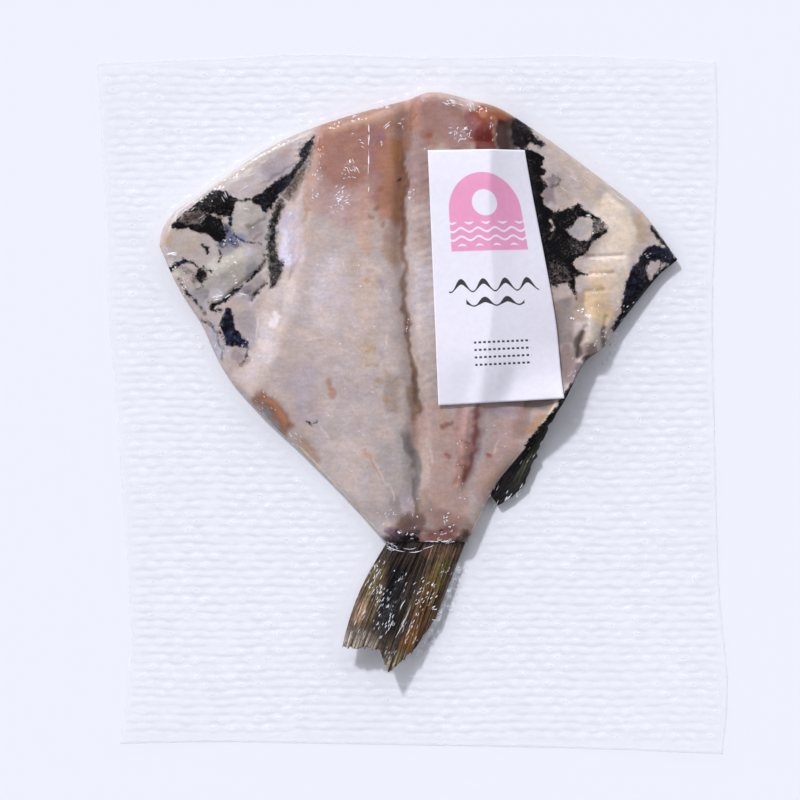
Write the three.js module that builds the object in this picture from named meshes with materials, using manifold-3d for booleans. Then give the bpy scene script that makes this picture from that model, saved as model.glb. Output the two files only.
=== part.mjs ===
// A dried rockfish without its head, cut open along the belly and laid out flat with the flesh up.
// It is sealed in a clear pouch, with a paper label lying over its backbone.
// Millimetres, +Z up, +Y from the tail to the nape. The pouch lies on z = 0, its middle on the origin.

import * as THREE from "three";
import Module from "manifold-3d";

const { clamp, lerp, smoothstep } = THREE.MathUtils;

// Pouch: the film, the air it leaves under the fish, and its four edges as [x, y] from low to high
const FILM_THICKNESS = 0.6;
const CLEARANCE = 0.4;
const POUCH_EDGES = {
  left: [[-117, -136], [-113, -98], [-113.4, -78], [-117, -22], [-121, 29], [-123.4, 87], [-126, 136]],
  right: [[123.8, -140], [126, -114], [123, -78], [121, -14], [120.2, 41], [122.2, 101], [121.4, 136.6]],
  low: [[-117, -136], [-85, -135.4], [-5, -136.6], [75, -138.2], [123.8, -140]],
  high: [[-126, 136], [-72, 138.6], [-42, 140], [14, 138.6], [65, 139.4], [121.4, 136.6]],
};
const POUCH_COLUMNS = 24;
const POUCH_ROWS = 27;

// Pouch: where the film lifts off the table
const POUCH_LIFTS = [
  { name: "tail", at: [-8, -78], radius: 52, height: 0.8 },
  { name: "left belly tip", at: [-98, 64], radius: 46, height: 1.2 },
  { name: "corner left of the nape", at: [-126, 138], radius: 48, height: 2.4 },
  { name: "corner right of the nape", at: [121, 138], radius: 56, height: 1.6 },
  { name: "corner right of the tail", at: [124, -140], radius: 66, height: 2.8 },
  { name: "corner left of the tail", at: [-117, -137], radius: 50, height: 2 },
  { name: "left edge", at: [-120, -30], radius: 44, height: 1.5 },
  { name: "right edge", at: [122, -36], radius: 40, height: 1.2 },
];

// Fish: its outline and the lines along its length, as [x, y] from the tail to the nape
const GROOVE = [[-0.2, -55], [1.6, -27], [1.8, 0], [-1.6, 30], [-3.8, 64], [-3, 95], [-2, 120.6]];
const BACKBONE = [[11, -55], [17, -38.6], [23.8, -18.6], [27, 1.4], [31.6, 41], [30, 81], [32, 122]];
const LEFT_EDGE = [
  [-10.2, -54.8], [-24.6, -38.6], [-45, -17.9], [-63.4, -0.2],
  [-75, 13.6], [-84.3, 32.8], [-93, 46.4], [-100.4, 63],
];
const LEFT_NAPE = [
  [-2, 120.6], [-27.4, 113.6], [-47.9, 106.4], [-60.2, 99.8],
  [-81.4, 85.2], [-95, 75.4], [-99.4, 69], [-100.4, 63],
];
const LEFT_CAVITY = [[-105, -55], [-78, -12], [-64, 7.4], [-53, 31], [-46, 56], [-43, 81], [-36, 110]];
const RIGHT_EDGE = [
  [21.8, -54.8], [31.6, -34.6], [42, -20.6], [58, -2], [68.6, 17.1],
  [75.6, 22.5], [81, 30.2], [87.2, 38.4], [93.4, 46.2], [98.8, 52.4], [105.2, 57.5],
];
const RIGHT_NAPE = [
  [-2, 120.6], [8, 123.8], [23, 120.6], [34, 117.4], [53, 105.6], [78.7, 86.4], [91, 76.4], [105.2, 57.5],
];

// Fish: thickness of the flesh along its length, each range in y from where a change starts to where it ends
const ROOT_THICKNESS = 6.5;
const FILLET_THICKNESS = 12.5;
const FILLET_GROWTH = [-60, 25];
const NAPE_THINNING = 2;
const NAPE_RANGE = [85, 122];
const GROOVE_DEPTH = 4;
const GROOVE_HALF_WIDTH = 3.4;
const GROOVE_ROOT_SHARE = 0.3;
const GROOVE_OPENING = [-50, -10];
const RIDGE_HEIGHT = 3.2;
const RIDGE_HALF_WIDTH = 4.6;
const RIDGE_GROWTH = [-44, 40];

// Fish: how the flesh thins across its width, each range in distance from the line it follows
const FILLET_FALL = 2.6;
const FALL_FROM_GROOVE = [10, 46];
const LEFT_FLAP_THICKNESS = 4.4;
const LEFT_CAVITY_STEP = [-5, 11];
const RIGHT_CAVITY_THICKNESS = 5.4;
const RIGHT_CAVITY_STEP = [4.6, 13];
const RIGHT_CAVITY_OPENING = [-8, 14];
const FLESH_SWELLS = [
  { name: "right flap", at: [76, 52], radius: 34, height: 2.2 },
  { name: "left flap", at: [-84, 62], radius: 24, height: 1.6 },
  { name: "left flap fold", at: [-66, 84], radius: 18, height: 1.3 },
  { name: "pelvic fin stub", at: [71, 27], radius: 13, height: 3.4 },
  { name: "thin right belly tip", at: [104, 54], radius: 36, height: -2.4 },
  { name: "edge below the stub", at: [66, 4], radius: 22, height: 1.8 },
  { name: "thin edge left of the tail", at: [-40, -30], radius: 26, height: -2 },
];

// Fish: its rounded rim, the cut across the nape, and its grid, which is closer at the groove, rim and nape
const RIM_THICKNESS = 1.8;
const RIM_SWELLS = [
  { name: "cut edge right of the tail", at: [56, -2], radius: 40, height: 6 },
  { name: "edge below the stub", at: [64, 9], radius: 20, height: 2 },
  { name: "edge by the tail", at: [24, -50], radius: 20, height: 1.4 },
];
const RIM_ROUND = 5;
const RIM_CURL = 1.1;
const NAPE_ROUND = 5;
const NAPE_CUT_SHARE = 0.5;
const BODY_COLUMNS = 44;
const BODY_ROWS = 32;
const COLUMN_CROWDING = 0.08;
const ROW_CROWDING = 1.2;

// Tail fin: a fan of rays in two lobes, the right one lying a little over the left one
const TAIL_ROOT = { left: [-9.4, -54.4], right: [21.2, -55] };
const TAIL_END = [
  { across: 0, at: [-27.8, -96.5] },
  { across: 0.42, at: [-15.8, -97.2] },
  { across: 0.47, at: [-13.6, -97.4] },
  { across: 0.57, at: [-9.6, -107] },
  { across: 0.8, at: [0.4, -98.2] },
  { across: 1, at: [9, -85.6] },
];
const TAIL_RAYS = 16;
const TAIL_ROWS = 9;
const TAIL_BURIED = 0.1;
const TAIL_BOW = 2.6;
const TAIL_BOWED_SIDE = [0, 0.45];
const TAIL_LIFT = 0.3;
const TAIL_RISE = 6;
const TAIL_RISE_ALONG = [0.15, 1.05];
const TAIL_LOW_SIDE = [0.5, 0.95];
const TAIL_LOW_SHARE = 0.1;
const TAIL_ROOT_THICKNESS = 5.6;
const TAIL_END_THICKNESS = 1.1;
const TAIL_THINNING = [-0.1, 0.7];
const TAIL_RAY_RELIEF = 0.5;
const TAIL_FRAY = 0.025;
const LOBE_STEP = 1.1;
const LOBE_SPLIT = [0.38, 0.46];
const LOBE_PARTING = [0, 0.6];

// Anal fin: a short frayed fan along the right edge, its inner side buried in the flesh
const FIN_INNER = [[29.5, -34.5], [39, -22], [55, -3.4]];
const FIN_OUTER = [[34.6, -40.6], [39, -37.4], [43.4, -33.4], [48.3, -23.2], [52.8, -11.8], [60, 1.2]];
const FIN_RAYS = 9;
const FIN_COLUMNS = 4;
const FIN_LIFT = 0.8;
const FIN_RISE = 2.6;
const FIN_THICKNESS = 1.5;
const FIN_TAPER = 0.6;
const FIN_RAY_RELIEF = 0.35;

// Label: paper corners as [x, y], how its right edge bows out, and how closely its lie is worked out
const LABEL_LOW = { left: [10.2, -0.8], right: [60.2, 2] };
const LABEL_HIGH = { left: [6, 100.2], right: [44.6, 100.8] };
const LABEL_BOW = { out: 1.6, rise: [0, 0.33], fall: [0.33, 1] };
const LABEL_THICKNESS = 0.3;
const LABEL_CLEARANCE = 0.9;
const LABEL_COLUMNS = 16;
const LABEL_ROWS = 16;

// A value eased from 0 to 1 over a range
const ease = (value, [from, to]) => smoothstep(value, from, to);

// Shares from 0 to 1 in equal steps
const shares = (count) => Array.from({ length: count + 1 }, (_, step) => step / count);

// A line read as x at any y, from a few points listed from low y to high y
function lineAt(points) {
  const spline = new THREE.CubicInterpolant(points.map((p) => p[1]), points.map((p) => p[0]), 1);
  return (y) => spline.evaluate(y)[0];
}

// A smooth curve through a few points, read by the share of its length
function curveThrough(points) {
  const places = points.map(([x, y]) => new THREE.Vector3(x, y, 0));
  const path = new THREE.CatmullRomCurve3(places, false, "centripetal");
  return (share) => path.getPointAt(clamp(share, 0, 1));
}

// A patch between four curves that meet at its corners: u runs from inner to outer, v from low to high
function patchBetween(inner, outer, low, high) {
  return (u, v) => {
    const point = inner(v).multiplyScalar(1 - u);
    point.addScaledVector(outer(v), u);
    point.addScaledVector(low(u), 1 - v);
    point.addScaledVector(high(u), v);
    point.addScaledVector(inner(0), -(1 - u) * (1 - v));
    point.addScaledVector(inner(1), -(1 - u) * v);
    point.addScaledVector(outer(0), -u * (1 - v));
    point.addScaledVector(outer(1), -u * v);
    return point;
  };
}

// The height of a list of round swells that each end at their radius
function swellsAt(x, y, swells) {
  return swells.reduce((sum, { at, radius, height }) => {
    const reach = Math.min(Math.hypot(x - at[0], y - at[1]) / radius, 1);
    return sum + height * (1 - reach * reach) ** 2;
  }, 0);
}

// A quarter round that climbs from 0 to 1 within its radius
function quarterRound(distance, radius) {
  const left = 1 - clamp(distance / radius, 0, 1);
  return Math.sqrt(1 - left * left);
}

// A closed body between an upper and a lower grid of points, with columns to +X and rows to +Y
function slab(columns, rows, pointAt) {
  const upper = [];
  const lower = [];
  for (let row = 0; row <= rows; row += 1) {
    for (let column = 0; column <= columns; column += 1) {
      const { x, y, top, bottom } = pointAt(column, row);
      upper.push(x, y, top);
      lower.push(x, y, bottom);
    }
  }
  const triangles = [];
  const quad = (a, b, c, d) => triangles.push(a, b, c, a, c, d);
  const topIndex = ([column, row]) => row * (columns + 1) + column;
  const bottomIndex = (place) => topIndex(place) + upper.length / 3;
  for (let row = 0; row < rows; row += 1) {
    for (let column = 0; column < columns; column += 1) {
      const ring = [[column, row], [column + 1, row], [column + 1, row + 1], [column, row + 1]];
      quad(...ring.map(topIndex));
      quad(...ring.map(bottomIndex).reverse());
    }
  }
  const wall = (from, to) => quad(bottomIndex(from), bottomIndex(to), topIndex(to), topIndex(from));
  for (let column = 0; column < columns; column += 1) {
    wall([column, 0], [column + 1, 0]);
    wall([column + 1, rows], [column, rows]);
  }
  for (let row = 0; row < rows; row += 1) {
    wall([columns, row], [columns, row + 1]);
    wall([0, row + 1], [0, row]);
  }
  const geometry = new THREE.BufferGeometry();
  geometry.setAttribute("position", new THREE.Float32BufferAttribute([...upper, ...lower], 3));
  geometry.setIndex(triangles);
  return geometry;
}

const grooveAt = lineAt(GROOVE);
const backboneAt = lineAt(BACKBONE);
const leftCavityAt = lineAt(LEFT_CAVITY);

// Height of the pouch's lower face over the table
const bedAt = (x, y) => swellsAt(x, y, POUCH_LIFTS);

// Height of the skin where the fish rests on the film
const skinAt = (x, y) => bedAt(x, y) + FILM_THICKNESS + CLEARANCE;

// Thickness of the flesh away from its rim
function fleshAt(x, y) {
  const fromGroove = x - grooveAt(y);
  const fillet = lerp(ROOT_THICKNESS, FILLET_THICKNESS, ease(y, FILLET_GROWTH));
  const groove = GROOVE_DEPTH * lerp(GROOVE_ROOT_SHARE, 1, ease(y, GROOVE_OPENING));
  let flesh = fillet - NAPE_THINNING * ease(y, NAPE_RANGE);
  flesh -= FILLET_FALL * ease(Math.abs(fromGroove), FALL_FROM_GROOVE);
  flesh -= groove * Math.exp(-((fromGroove / GROOVE_HALF_WIDTH) ** 2));
  if (fromGroove < 0) {
    flesh = lerp(flesh, LEFT_FLAP_THICKNESS, ease(leftCavityAt(y) - x, LEFT_CAVITY_STEP));
  } else {
    const fromBackbone = x - backboneAt(y);
    const cavity = ease(y, RIGHT_CAVITY_OPENING) * ease(fromBackbone, RIGHT_CAVITY_STEP);
    const ridge = RIDGE_HEIGHT * ease(y, RIDGE_GROWTH);
    flesh = lerp(flesh, RIGHT_CAVITY_THICKNESS, cavity);
    flesh += ridge * Math.exp(-((fromBackbone / RIDGE_HALF_WIDTH) ** 2));
  }
  return flesh + swellsAt(x, y, FLESH_SWELLS);
}

// The two halves of the opened fish, one grid with the back groove in its middle column
function bodyGeometry() {
  const groove = curveThrough(GROOVE);
  const half = (edge, nape) => {
    const root = curveThrough([GROOVE[0], edge[0]]);
    return patchBetween(groove, curveThrough(edge), root, curveThrough(nape));
  };
  const left = half(LEFT_EDGE, LEFT_NAPE);
  const right = half(RIGHT_EDGE, RIGHT_NAPE);
  const middle = BODY_COLUMNS / 2;
  return slab(BODY_COLUMNS, BODY_ROWS, (column, row) => {
    const patch = column < middle ? left : right;
    const step = Math.abs(column - middle) / middle;
    const u = step - COLUMN_CROWDING * Math.sin(2 * Math.PI * step);
    const v = 1 - (1 - row / BODY_ROWS) ** ROW_CROWDING;
    const place = patch(u, v);
    const { x, y } = place;
    const rim = quarterRound(place.distanceTo(patch(1, v)), RIM_ROUND);
    const nape = quarterRound(place.distanceTo(patch(u, 1)), NAPE_ROUND);
    const edge = RIM_THICKNESS + swellsAt(x, y, RIM_SWELLS);
    const flesh = Math.max(fleshAt(x, y) * lerp(NAPE_CUT_SHARE, 1, nape), RIM_THICKNESS);
    const bottom = skinAt(x, y) + RIM_CURL * (1 - rim);
    return { x, y, top: bottom + lerp(Math.min(edge, flesh), flesh, rim), bottom };
  });
}

// The tail fan: columns alternate between a ray and the web beside it
function tailGeometry() {
  const columns = 2 * TAIL_RAYS;
  const end = new THREE.LinearInterpolant(TAIL_END.map((p) => p.across), TAIL_END.flatMap((p) => p.at), 2);
  const rootLeft = new THREE.Vector2(...TAIL_ROOT.left);
  const rootRight = new THREE.Vector2(...TAIL_ROOT.right);
  return slab(columns, TAIL_ROWS, (column, row) => {
    const across = column / columns;
    const isRay = column % 2 === 1;
    const along = lerp(1 + (isRay ? TAIL_FRAY : -TAIL_FRAY), -TAIL_BURIED, row / TAIL_ROWS);
    const tip = new THREE.Vector2(...end.evaluate(across));
    const spot = rootLeft.clone().lerp(rootRight, across).lerp(tip, along);
    const bow = TAIL_BOW * (1 - ease(across, TAIL_BOWED_SIDE)) * Math.sin(Math.PI * clamp(along, 0, 1));
    const [x, y] = [spot.x - bow, spot.y];
    const crown = (1 - (2 * across - 1) ** 4) * (1 - ease(along, TAIL_THINNING));
    const lobe = LOBE_STEP * ease(across, LOBE_SPLIT) * ease(along, LOBE_PARTING);
    const share = lerp(1, TAIL_LOW_SHARE, ease(across, TAIL_LOW_SIDE));
    const curl = TAIL_RISE * ease(along, TAIL_RISE_ALONG) * share;
    const bottom = skinAt(x, y) + TAIL_LIFT + lobe + curl;
    const thickness = lerp(TAIL_END_THICKNESS, TAIL_ROOT_THICKNESS, crown);
    return { x, y, top: bottom + thickness + (isRay ? TAIL_RAY_RELIEF : 0), bottom };
  });
}

// The anal fin: rows alternate between a ray and the web beside it
function analFinGeometry() {
  const inner = curveThrough(FIN_INNER);
  const outer = curveThrough(FIN_OUTER);
  const rows = 2 * FIN_RAYS;
  return slab(FIN_COLUMNS, rows, (column, row) => {
    const across = column / FIN_COLUMNS;
    const isRay = row % 2 === 1;
    const { x, y } = inner(row / rows).lerp(outer(row / rows), across);
    const bottom = skinAt(x, y) + FIN_LIFT + FIN_RISE * (row / rows);
    const thickness = FIN_THICKNESS * lerp(1, FIN_TAPER, across);
    return { x, y, top: bottom + thickness + (isRay ? FIN_RAY_RELIEF : 0), bottom };
  });
}

// Body, tail and fin joined as one solid
async function fishGeometry() {
  const wasm = await Module();
  wasm.setup();
  const solidOf = (geometry) => new wasm.Manifold(new wasm.Mesh({
    numProp: 3,
    vertProperties: new Float32Array(geometry.attributes.position.array),
    triVerts: new Uint32Array(geometry.index.array),
  }));
  const [body, tail, fin] = [bodyGeometry(), tailGeometry(), analFinGeometry()].map(solidOf);
  const joined = body.add(tail).add(fin).getMesh();
  const geometry = new THREE.BufferGeometry();
  geometry.setAttribute("position", new THREE.BufferAttribute(joined.vertProperties, 3));
  geometry.setIndex(new THREE.BufferAttribute(joined.triVerts, 1));
  return geometry;
}

// The sealed pouch as one sheet under and around the fish
function filmGeometry() {
  const { left, right, low, high } = POUCH_EDGES;
  const sheet = patchBetween(...[left, right, low, high].map(curveThrough));
  return slab(POUCH_COLUMNS, POUCH_ROWS, (column, row) => {
    const { x, y } = sheet(column / POUCH_COLUMNS, row / POUCH_ROWS);
    const bottom = bedAt(x, y);
    return { x, y, top: bottom + FILM_THICKNESS, bottom };
  });
}

// The heights of a taut strip over a row of supports one step apart: straight between those that lift it
function tautOver(supports) {
  const held = [];
  supports.forEach((height, step) => {
    while (held.length > 1) {
      const [before, last] = held.slice(-2);
      const straight = lerp(before.height, height, (last.step - before.step) / (step - before.step));
      if (last.height > straight) break;
      held.pop();
    }
    held.push({ step, height });
  });
  const strip = new THREE.LinearInterpolant(held.map((h) => h.step), held.map((h) => h.height), 1);
  return supports.map((_, step) => strip.evaluate(step)[0]);
}

// The paper label: taut across its width, where the backbone and its long edges carry it
function labelGeometry() {
  const place = (across, up) => {
    const low = new THREE.Vector2(...LABEL_LOW.left).lerp(new THREE.Vector2(...LABEL_LOW.right), across);
    const high = new THREE.Vector2(...LABEL_HIGH.left).lerp(new THREE.Vector2(...LABEL_HIGH.right), across);
    const bow = across * ease(up, LABEL_BOW.rise) * (1 - ease(up, LABEL_BOW.fall));
    const spot = low.lerp(high, up);
    spot.x += LABEL_BOW.out * bow;
    return spot;
  };
  const clearAt = (across, up) => {
    const { x, y } = place(across, up);
    return skinAt(x, y) + fleshAt(x, y) + LABEL_CLEARANCE;
  };
  const columns = shares(LABEL_COLUMNS);
  const rows = shares(LABEL_ROWS);
  const heights = rows.map((up) => tautOver(columns.map((across) => clearAt(across, up))));
  return slab(LABEL_COLUMNS, LABEL_ROWS, (column, row) => {
    const { x, y } = place(columns[column], rows[row]);
    const bottom = heights[row][column];
    return { x, y, top: bottom + LABEL_THICKNESS, bottom };
  });
}

// A sub-part by its name, shape and finish
function subPart(name, geometry, finish) {
  const mesh = new THREE.Mesh(geometry, new THREE.MeshStandardMaterial(finish));
  mesh.name = name;
  return mesh;
}

const pouchedFish = new THREE.Group();
pouchedFish.add(subPart("film", filmGeometry(), { color: 0xecedfa, roughness: 0.15, metalness: 0 }));
pouchedFish.add(subPart("fish", await fishGeometry(), { color: 0xbaa8a4, roughness: 0.4, metalness: 0 }));
pouchedFish.add(subPart("label", labelGeometry(), { color: 0xf0eefa, roughness: 0.7, metalness: 0 }));

export default pouchedFish;
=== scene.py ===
"""Looks of a vacuum-packed dried rockfish: the opened fish, its paper label and the clear embossed pouch."""

import logging
from dataclasses import dataclass
from enum import Enum
from typing import Callable, Iterator, Sequence

import bpy
import numpy as np
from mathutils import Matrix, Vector
from mathutils.bvhtree import BVHTree


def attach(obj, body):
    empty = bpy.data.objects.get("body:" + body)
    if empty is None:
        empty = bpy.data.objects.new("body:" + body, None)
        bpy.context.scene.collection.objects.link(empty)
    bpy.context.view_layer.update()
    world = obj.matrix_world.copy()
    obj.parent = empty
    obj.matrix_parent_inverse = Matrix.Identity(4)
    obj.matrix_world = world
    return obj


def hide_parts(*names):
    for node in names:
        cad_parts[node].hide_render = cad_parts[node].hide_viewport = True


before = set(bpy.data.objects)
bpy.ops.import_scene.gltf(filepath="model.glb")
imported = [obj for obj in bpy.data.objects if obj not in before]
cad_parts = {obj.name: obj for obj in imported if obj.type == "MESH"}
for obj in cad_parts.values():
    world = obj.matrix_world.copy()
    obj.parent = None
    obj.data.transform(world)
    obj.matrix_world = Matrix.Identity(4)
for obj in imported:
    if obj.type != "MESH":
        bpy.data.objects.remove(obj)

Array = np.ndarray
Point = tuple[float, float]
Colour = tuple[float, float, float]
Material = bpy.types.Material
Piece = bpy.types.Object
Socket = bpy.types.NodeSocket
Tree = bpy.types.NodeTree
Value = float | int | bool | str | tuple | Socket | Material | Tree

LOG = logging.getLogger("pouched_fish")

# Units: pieces are worked out in millimetres, and marks are placed in pixels of the photograph
MM = 0.001
PIXEL = 0.4
PIXEL_OVER_ORIGIN = (412.5, 403.5)
TINY = 1e-9
FAR = 60.0

# Light that a level surface sends back, as a share of its own colour
LIGHT_LEVEL = (0.99, 1.02, 1.16)
PALEST = 0.95
WHITE = (1.0, 1.0, 1.0, 1.0)

# Screen colours: a straight start, then a power
SCREEN_KNEE = 0.04045
SCREEN_SLOPE = 12.92
SCREEN_OFFSET = 0.055
SCREEN_POWER = 2.4


class Slot(Enum):
    """Kinds of material that the pieces are made of."""

    FILM = "film"
    FISH = "fish"
    LABEL = "label"


class Node(Enum):
    """Solids that the pieces here stand for."""

    FILM = "film"
    FISH = "fish"
    LABEL = "label"


# Small tools

def linear(colour: Colour) -> Array:
    """Give a screen colour as linear light.

    Args:
        colour: red, green and blue from 0 to 255.

    Returns:
        The three linear values from 0 to 1.
    """
    share = np.array(colour) / 255
    curved = ((share + SCREEN_OFFSET) / (1 + SCREEN_OFFSET)) ** SCREEN_POWER
    return np.where(share <= SCREEN_KNEE, share / SCREEN_SLOPE, curved)


def albedo(colour: Colour) -> Array:
    """Give the surface colour that looks like a screen colour under the studio's light.

    Args:
        colour: red, green and blue from 0 to 255, as seen.

    Returns:
        The three linear values of the surface.
    """
    return np.clip(linear(colour) / np.array(LIGHT_LEVEL), 0, PALEST)
def rgba(colour: Colour) -> tuple:
    """Give a seen screen colour as the four numbers of a colour socket."""
    return (*albedo(colour), 1.0)


def ease(value: Array, low: float, high: float) -> Array:
    """Ease a value from 0 at one end of a range to 1 at the other.

    Args:
        value: what is eased.
        low: where 0 ends.
        high: where 1 starts.

    Returns:
        The eased share.
    """
    share = np.clip((value - low) / (high - low), 0, 1)
    return share * share * (3 - 2 * share)


def blend(first: Array | float, second: Array | float, share: Array | float) -> Array:
    """Mix two values by a share."""
    return first + (second - first) * share


def quarter_round(distance: Array, radius: float) -> Array:
    """Climb from 0 to 1 within a radius, along a quarter of a circle.

    Args:
        distance: distance from the edge.
        radius: where the climb ends.

    Returns:
        The share climbed.
    """
    left = 1 - np.clip(distance / radius, 0, 1)
    return np.sqrt(1 - left * left)


def to_pixels(x: Array, y: Array) -> tuple[Array, Array]:
    """Turn millimetres on the table into pixels of the photograph."""
    return x / PIXEL + PIXEL_OVER_ORIGIN[0], PIXEL_OVER_ORIGIN[1] - y / PIXEL


def from_pixels(x: Array, y: Array) -> tuple[Array, Array]:
    """Turn pixels of the photograph into millimetres on the table."""
    return (x - PIXEL_OVER_ORIGIN[0]) * PIXEL, (PIXEL_OVER_ORIGIN[1] - y) * PIXEL


def spans_of(x: Array, y: Array, path: Sequence[Point]) -> Iterator[tuple[Array, Array]]:
    """Set points against each straight span of a path.

    Args:
        x: first coordinate of the points.
        y: second coordinate of the points.
        path: the path's corners, or a single spot.

    Yields:
        The distance of each point, and the share along the span where it is nearest.
    """
    for (ax, ay), (bx, by) in zip(path, path[1:] or path):
        dx, dy = bx - ax, by - ay
        along = np.clip(((x - ax) * dx + (y - ay) * dy) / max(dx * dx + dy * dy, TINY), 0, 1)
        yield np.hypot(x - ax - along * dx, y - ay - along * dy), along


def distance_to_path(x: Array, y: Array, path: Sequence[Point]) -> Array:
    """Measure how far points lie from a path of straight spans.

    Args:
        x: first coordinate of the points.
        y: second coordinate of the points.
        path: the path's corners, or a single spot.

    Returns:
        The distance of each point.
    """
    return np.minimum.reduce([distance for distance, _ in spans_of(x, y, path)])


def fade_along(x: Array, y: Array, path: Sequence[Point], share: float) -> Array:
    """Tell how strong a stroke is along its path, where it fades towards its ends.

    Args:
        x: first coordinate of the points.
        y: second coordinate of the points.
        path: the path's corners.
        share: share of its length over which it fades.

    Returns:
        Shares from 0 to 1.
    """
    lengths = np.linalg.norm(np.diff(np.array(path, float), axis=0), axis=1)
    starts = np.concatenate([[0], np.cumsum(lengths)])
    best, place = np.full(x.shape, np.inf), np.zeros(x.shape)
    for (distance, along), start, end in zip(spans_of(x, y, path), starts, starts[1:]):
        place = np.where(distance < best, blend(start, end, along) / starts[-1], place)
        best = np.minimum(best, distance)
    return ease(np.minimum(place, 1 - place), 0, share)


def is_inside(x: Array, y: Array, outline: Sequence[Point]) -> Array:
    """Tell which points lie inside a closed outline.

    Args:
        x: first coordinate of the points.
        y: second coordinate of the points.
        outline: corners in order.

    Returns:
        True for each point inside.
    """
    within = np.zeros(x.shape, bool)
    for (ax, ay), (bx, by) in zip(outline, (*outline[1:], outline[0])):
        crosses = (ay > y) != (by > y)
        within ^= crosses & (x < (bx - ax) * (y - ay) / (by - ay if by != ay else TINY) + ax)
    return within


class Noise:
    """Smooth seeded noise over the table."""

    CELLS = 256

    def __init__(self, seed: int) -> None:
        """Draw the noise's own table of values from a seed."""
        self.table = np.random.default_rng(seed).uniform(-1, 1, (self.CELLS, self.CELLS))

    def at(self, x: Array, y: Array, size: float) -> Array:
        """Read the noise.

        Args:
            x: first coordinate.
            y: second coordinate.
            size: distance between its hills.

        Returns:
            Values from -1 to 1.
        """
        left, low = np.floor(x / size).astype(int), np.floor(y / size).astype(int)
        across, up = ease(x / size - left, 0, 1), ease(y / size - low, 0, 1)
        left, low = left % self.CELLS, low % self.CELLS
        right, high = (left + 1) % self.CELLS, (low + 1) % self.CELLS
        below = blend(self.table[left, low], self.table[right, low], across)
        above = blend(self.table[left, high], self.table[right, high], across)
        return blend(below, above, up)


class Curve:
    """A smooth curve through a few points, in millimetres."""

    STEPS = 40

    def __init__(self, *points: Point) -> None:
        """Sample the curve closely.

        Args:
            points: the places that it goes through.
        """
        given = np.array(points, float)
        padded = np.vstack([2 * given[0] - given[1], given, 2 * given[-1] - given[-2]])
        steps = np.linspace(0, 1, self.STEPS, endpoint=False)[:, None]
        spans = []
        for p0, p1, p2, p3 in zip(padded, padded[1:], padded[2:], padded[3:]):
            t1 = np.linalg.norm(p1 - p0) ** 0.5
            t2 = t1 + np.linalg.norm(p2 - p1) ** 0.5
            t3 = t2 + np.linalg.norm(p3 - p2) ** 0.5
            t = blend(t1, t2, steps)
            a1, a2, a3 = blend(p0, p1, t / t1), blend(p1, p2, steps), blend(p2, p3, (t - t2) / (t3 - t2))
            b1, b2 = blend(a1, a2, t / t2), blend(a2, a3, (t - t1) / (t3 - t1))
            spans.append(blend(b1, b2, steps))
        self.points = np.vstack([*spans, given[-1:]])
        lengths = np.linalg.norm(np.diff(self.points, axis=0), axis=1)
        self.shares = np.concatenate([[0], np.cumsum(lengths)]) / lengths.sum()

    def at(self, share: Array | float) -> Array:
        """Read points by the share of the curve's length, as pairs in the last axis."""
        return np.stack([np.interp(share, self.shares, self.points[:, axis]) for axis in (0, 1)], -1)

    def x_at(self, y: Array) -> Array:
        """Read x at any y, on a curve that only climbs."""
        return np.interp(y, self.points[:, 1], self.points[:, 0])


def patch(inner: Curve, outer: Curve, low: Curve, high: Curve, u: Array, v: Array) -> Array:
    """Fill the space between four curves that meet at its corners.

    Args:
        inner: curve at u 0.
        outer: curve at u 1.
        low: curve at v 0.
        high: curve at v 1.
        u: share from inner to outer.
        v: share from low to high.

    Returns:
        Places as pairs in the last axis.
    """
    across, up = u[..., None], v[..., None]
    sides = blend(inner.at(v), outer.at(v), across) + blend(low.at(u), high.at(u), up)
    corners = blend(blend(inner.at(0), outer.at(0), across), blend(inner.at(1), outer.at(1), across), up)
    return sides - corners


@dataclass(frozen=True)
class Swell:
    """A round swell that ends at its radius, in millimetres."""

    at: Point
    radius: float
    height: float


def swells_at(x: Array, y: Array, swells: Sequence[Swell]) -> Array:
    """Add up the heights of some swells.

    Args:
        x: first coordinate.
        y: second coordinate.
        swells: the swells.

    Returns:
        The height at each point.
    """
    total = np.zeros(np.shape(x))
    for swell in swells:
        reach = np.minimum(np.hypot(x - swell.at[0], y - swell.at[1]) / swell.radius, 1)
        total = total + swell.height * (1 - reach * reach) ** 2
    return total


# Mesh tools

def new_piece(name: str, vertices: Array, faces: list, edges: list | None = None) -> Piece:
    """Make a mesh object, smooth where it has faces.

    Args:
        name: its name.
        vertices: places in millimetres.
        faces: corner indices of each face.
        edges: pairs of indices of its bare edges, if any.

    Returns:
        The object, at the origin.
    """
    mesh = bpy.data.meshes.new(name)
    mesh.from_pydata((vertices * MM).tolist(), edges or [], faces)
    if faces:
        mesh.shade_smooth()
    piece = bpy.data.objects.new(name, mesh)
    bpy.context.scene.collection.objects.link(piece)
    return piece


def chain_edges(chains: int, points: int) -> list:
    """List the edges of some chains of points, one chain after another."""
    index = np.arange(chains * points).reshape(chains, points)
    return np.stack([index[:, :-1].ravel(), index[:, 1:].ravel()], -1).tolist()


def set_values(piece: Piece, name: str, values: Array) -> None:
    """Store a value, vector or colour at each vertex.

    Args:
        piece: the object.
        name: the attribute's name.
        values: one row for each vertex, with one, three or four numbers.
    """
    kind, field = {1: ("FLOAT", "value"), 3: ("FLOAT_VECTOR", "vector"), 4: ("FLOAT_COLOR", "color")}[
        1 if values.ndim == 1 else values.shape[1]
    ]
    attribute = piece.data.attributes.new(name, kind, "POINT")
    attribute.data.foreach_set(field, values.astype(np.float32).ravel())


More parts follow.
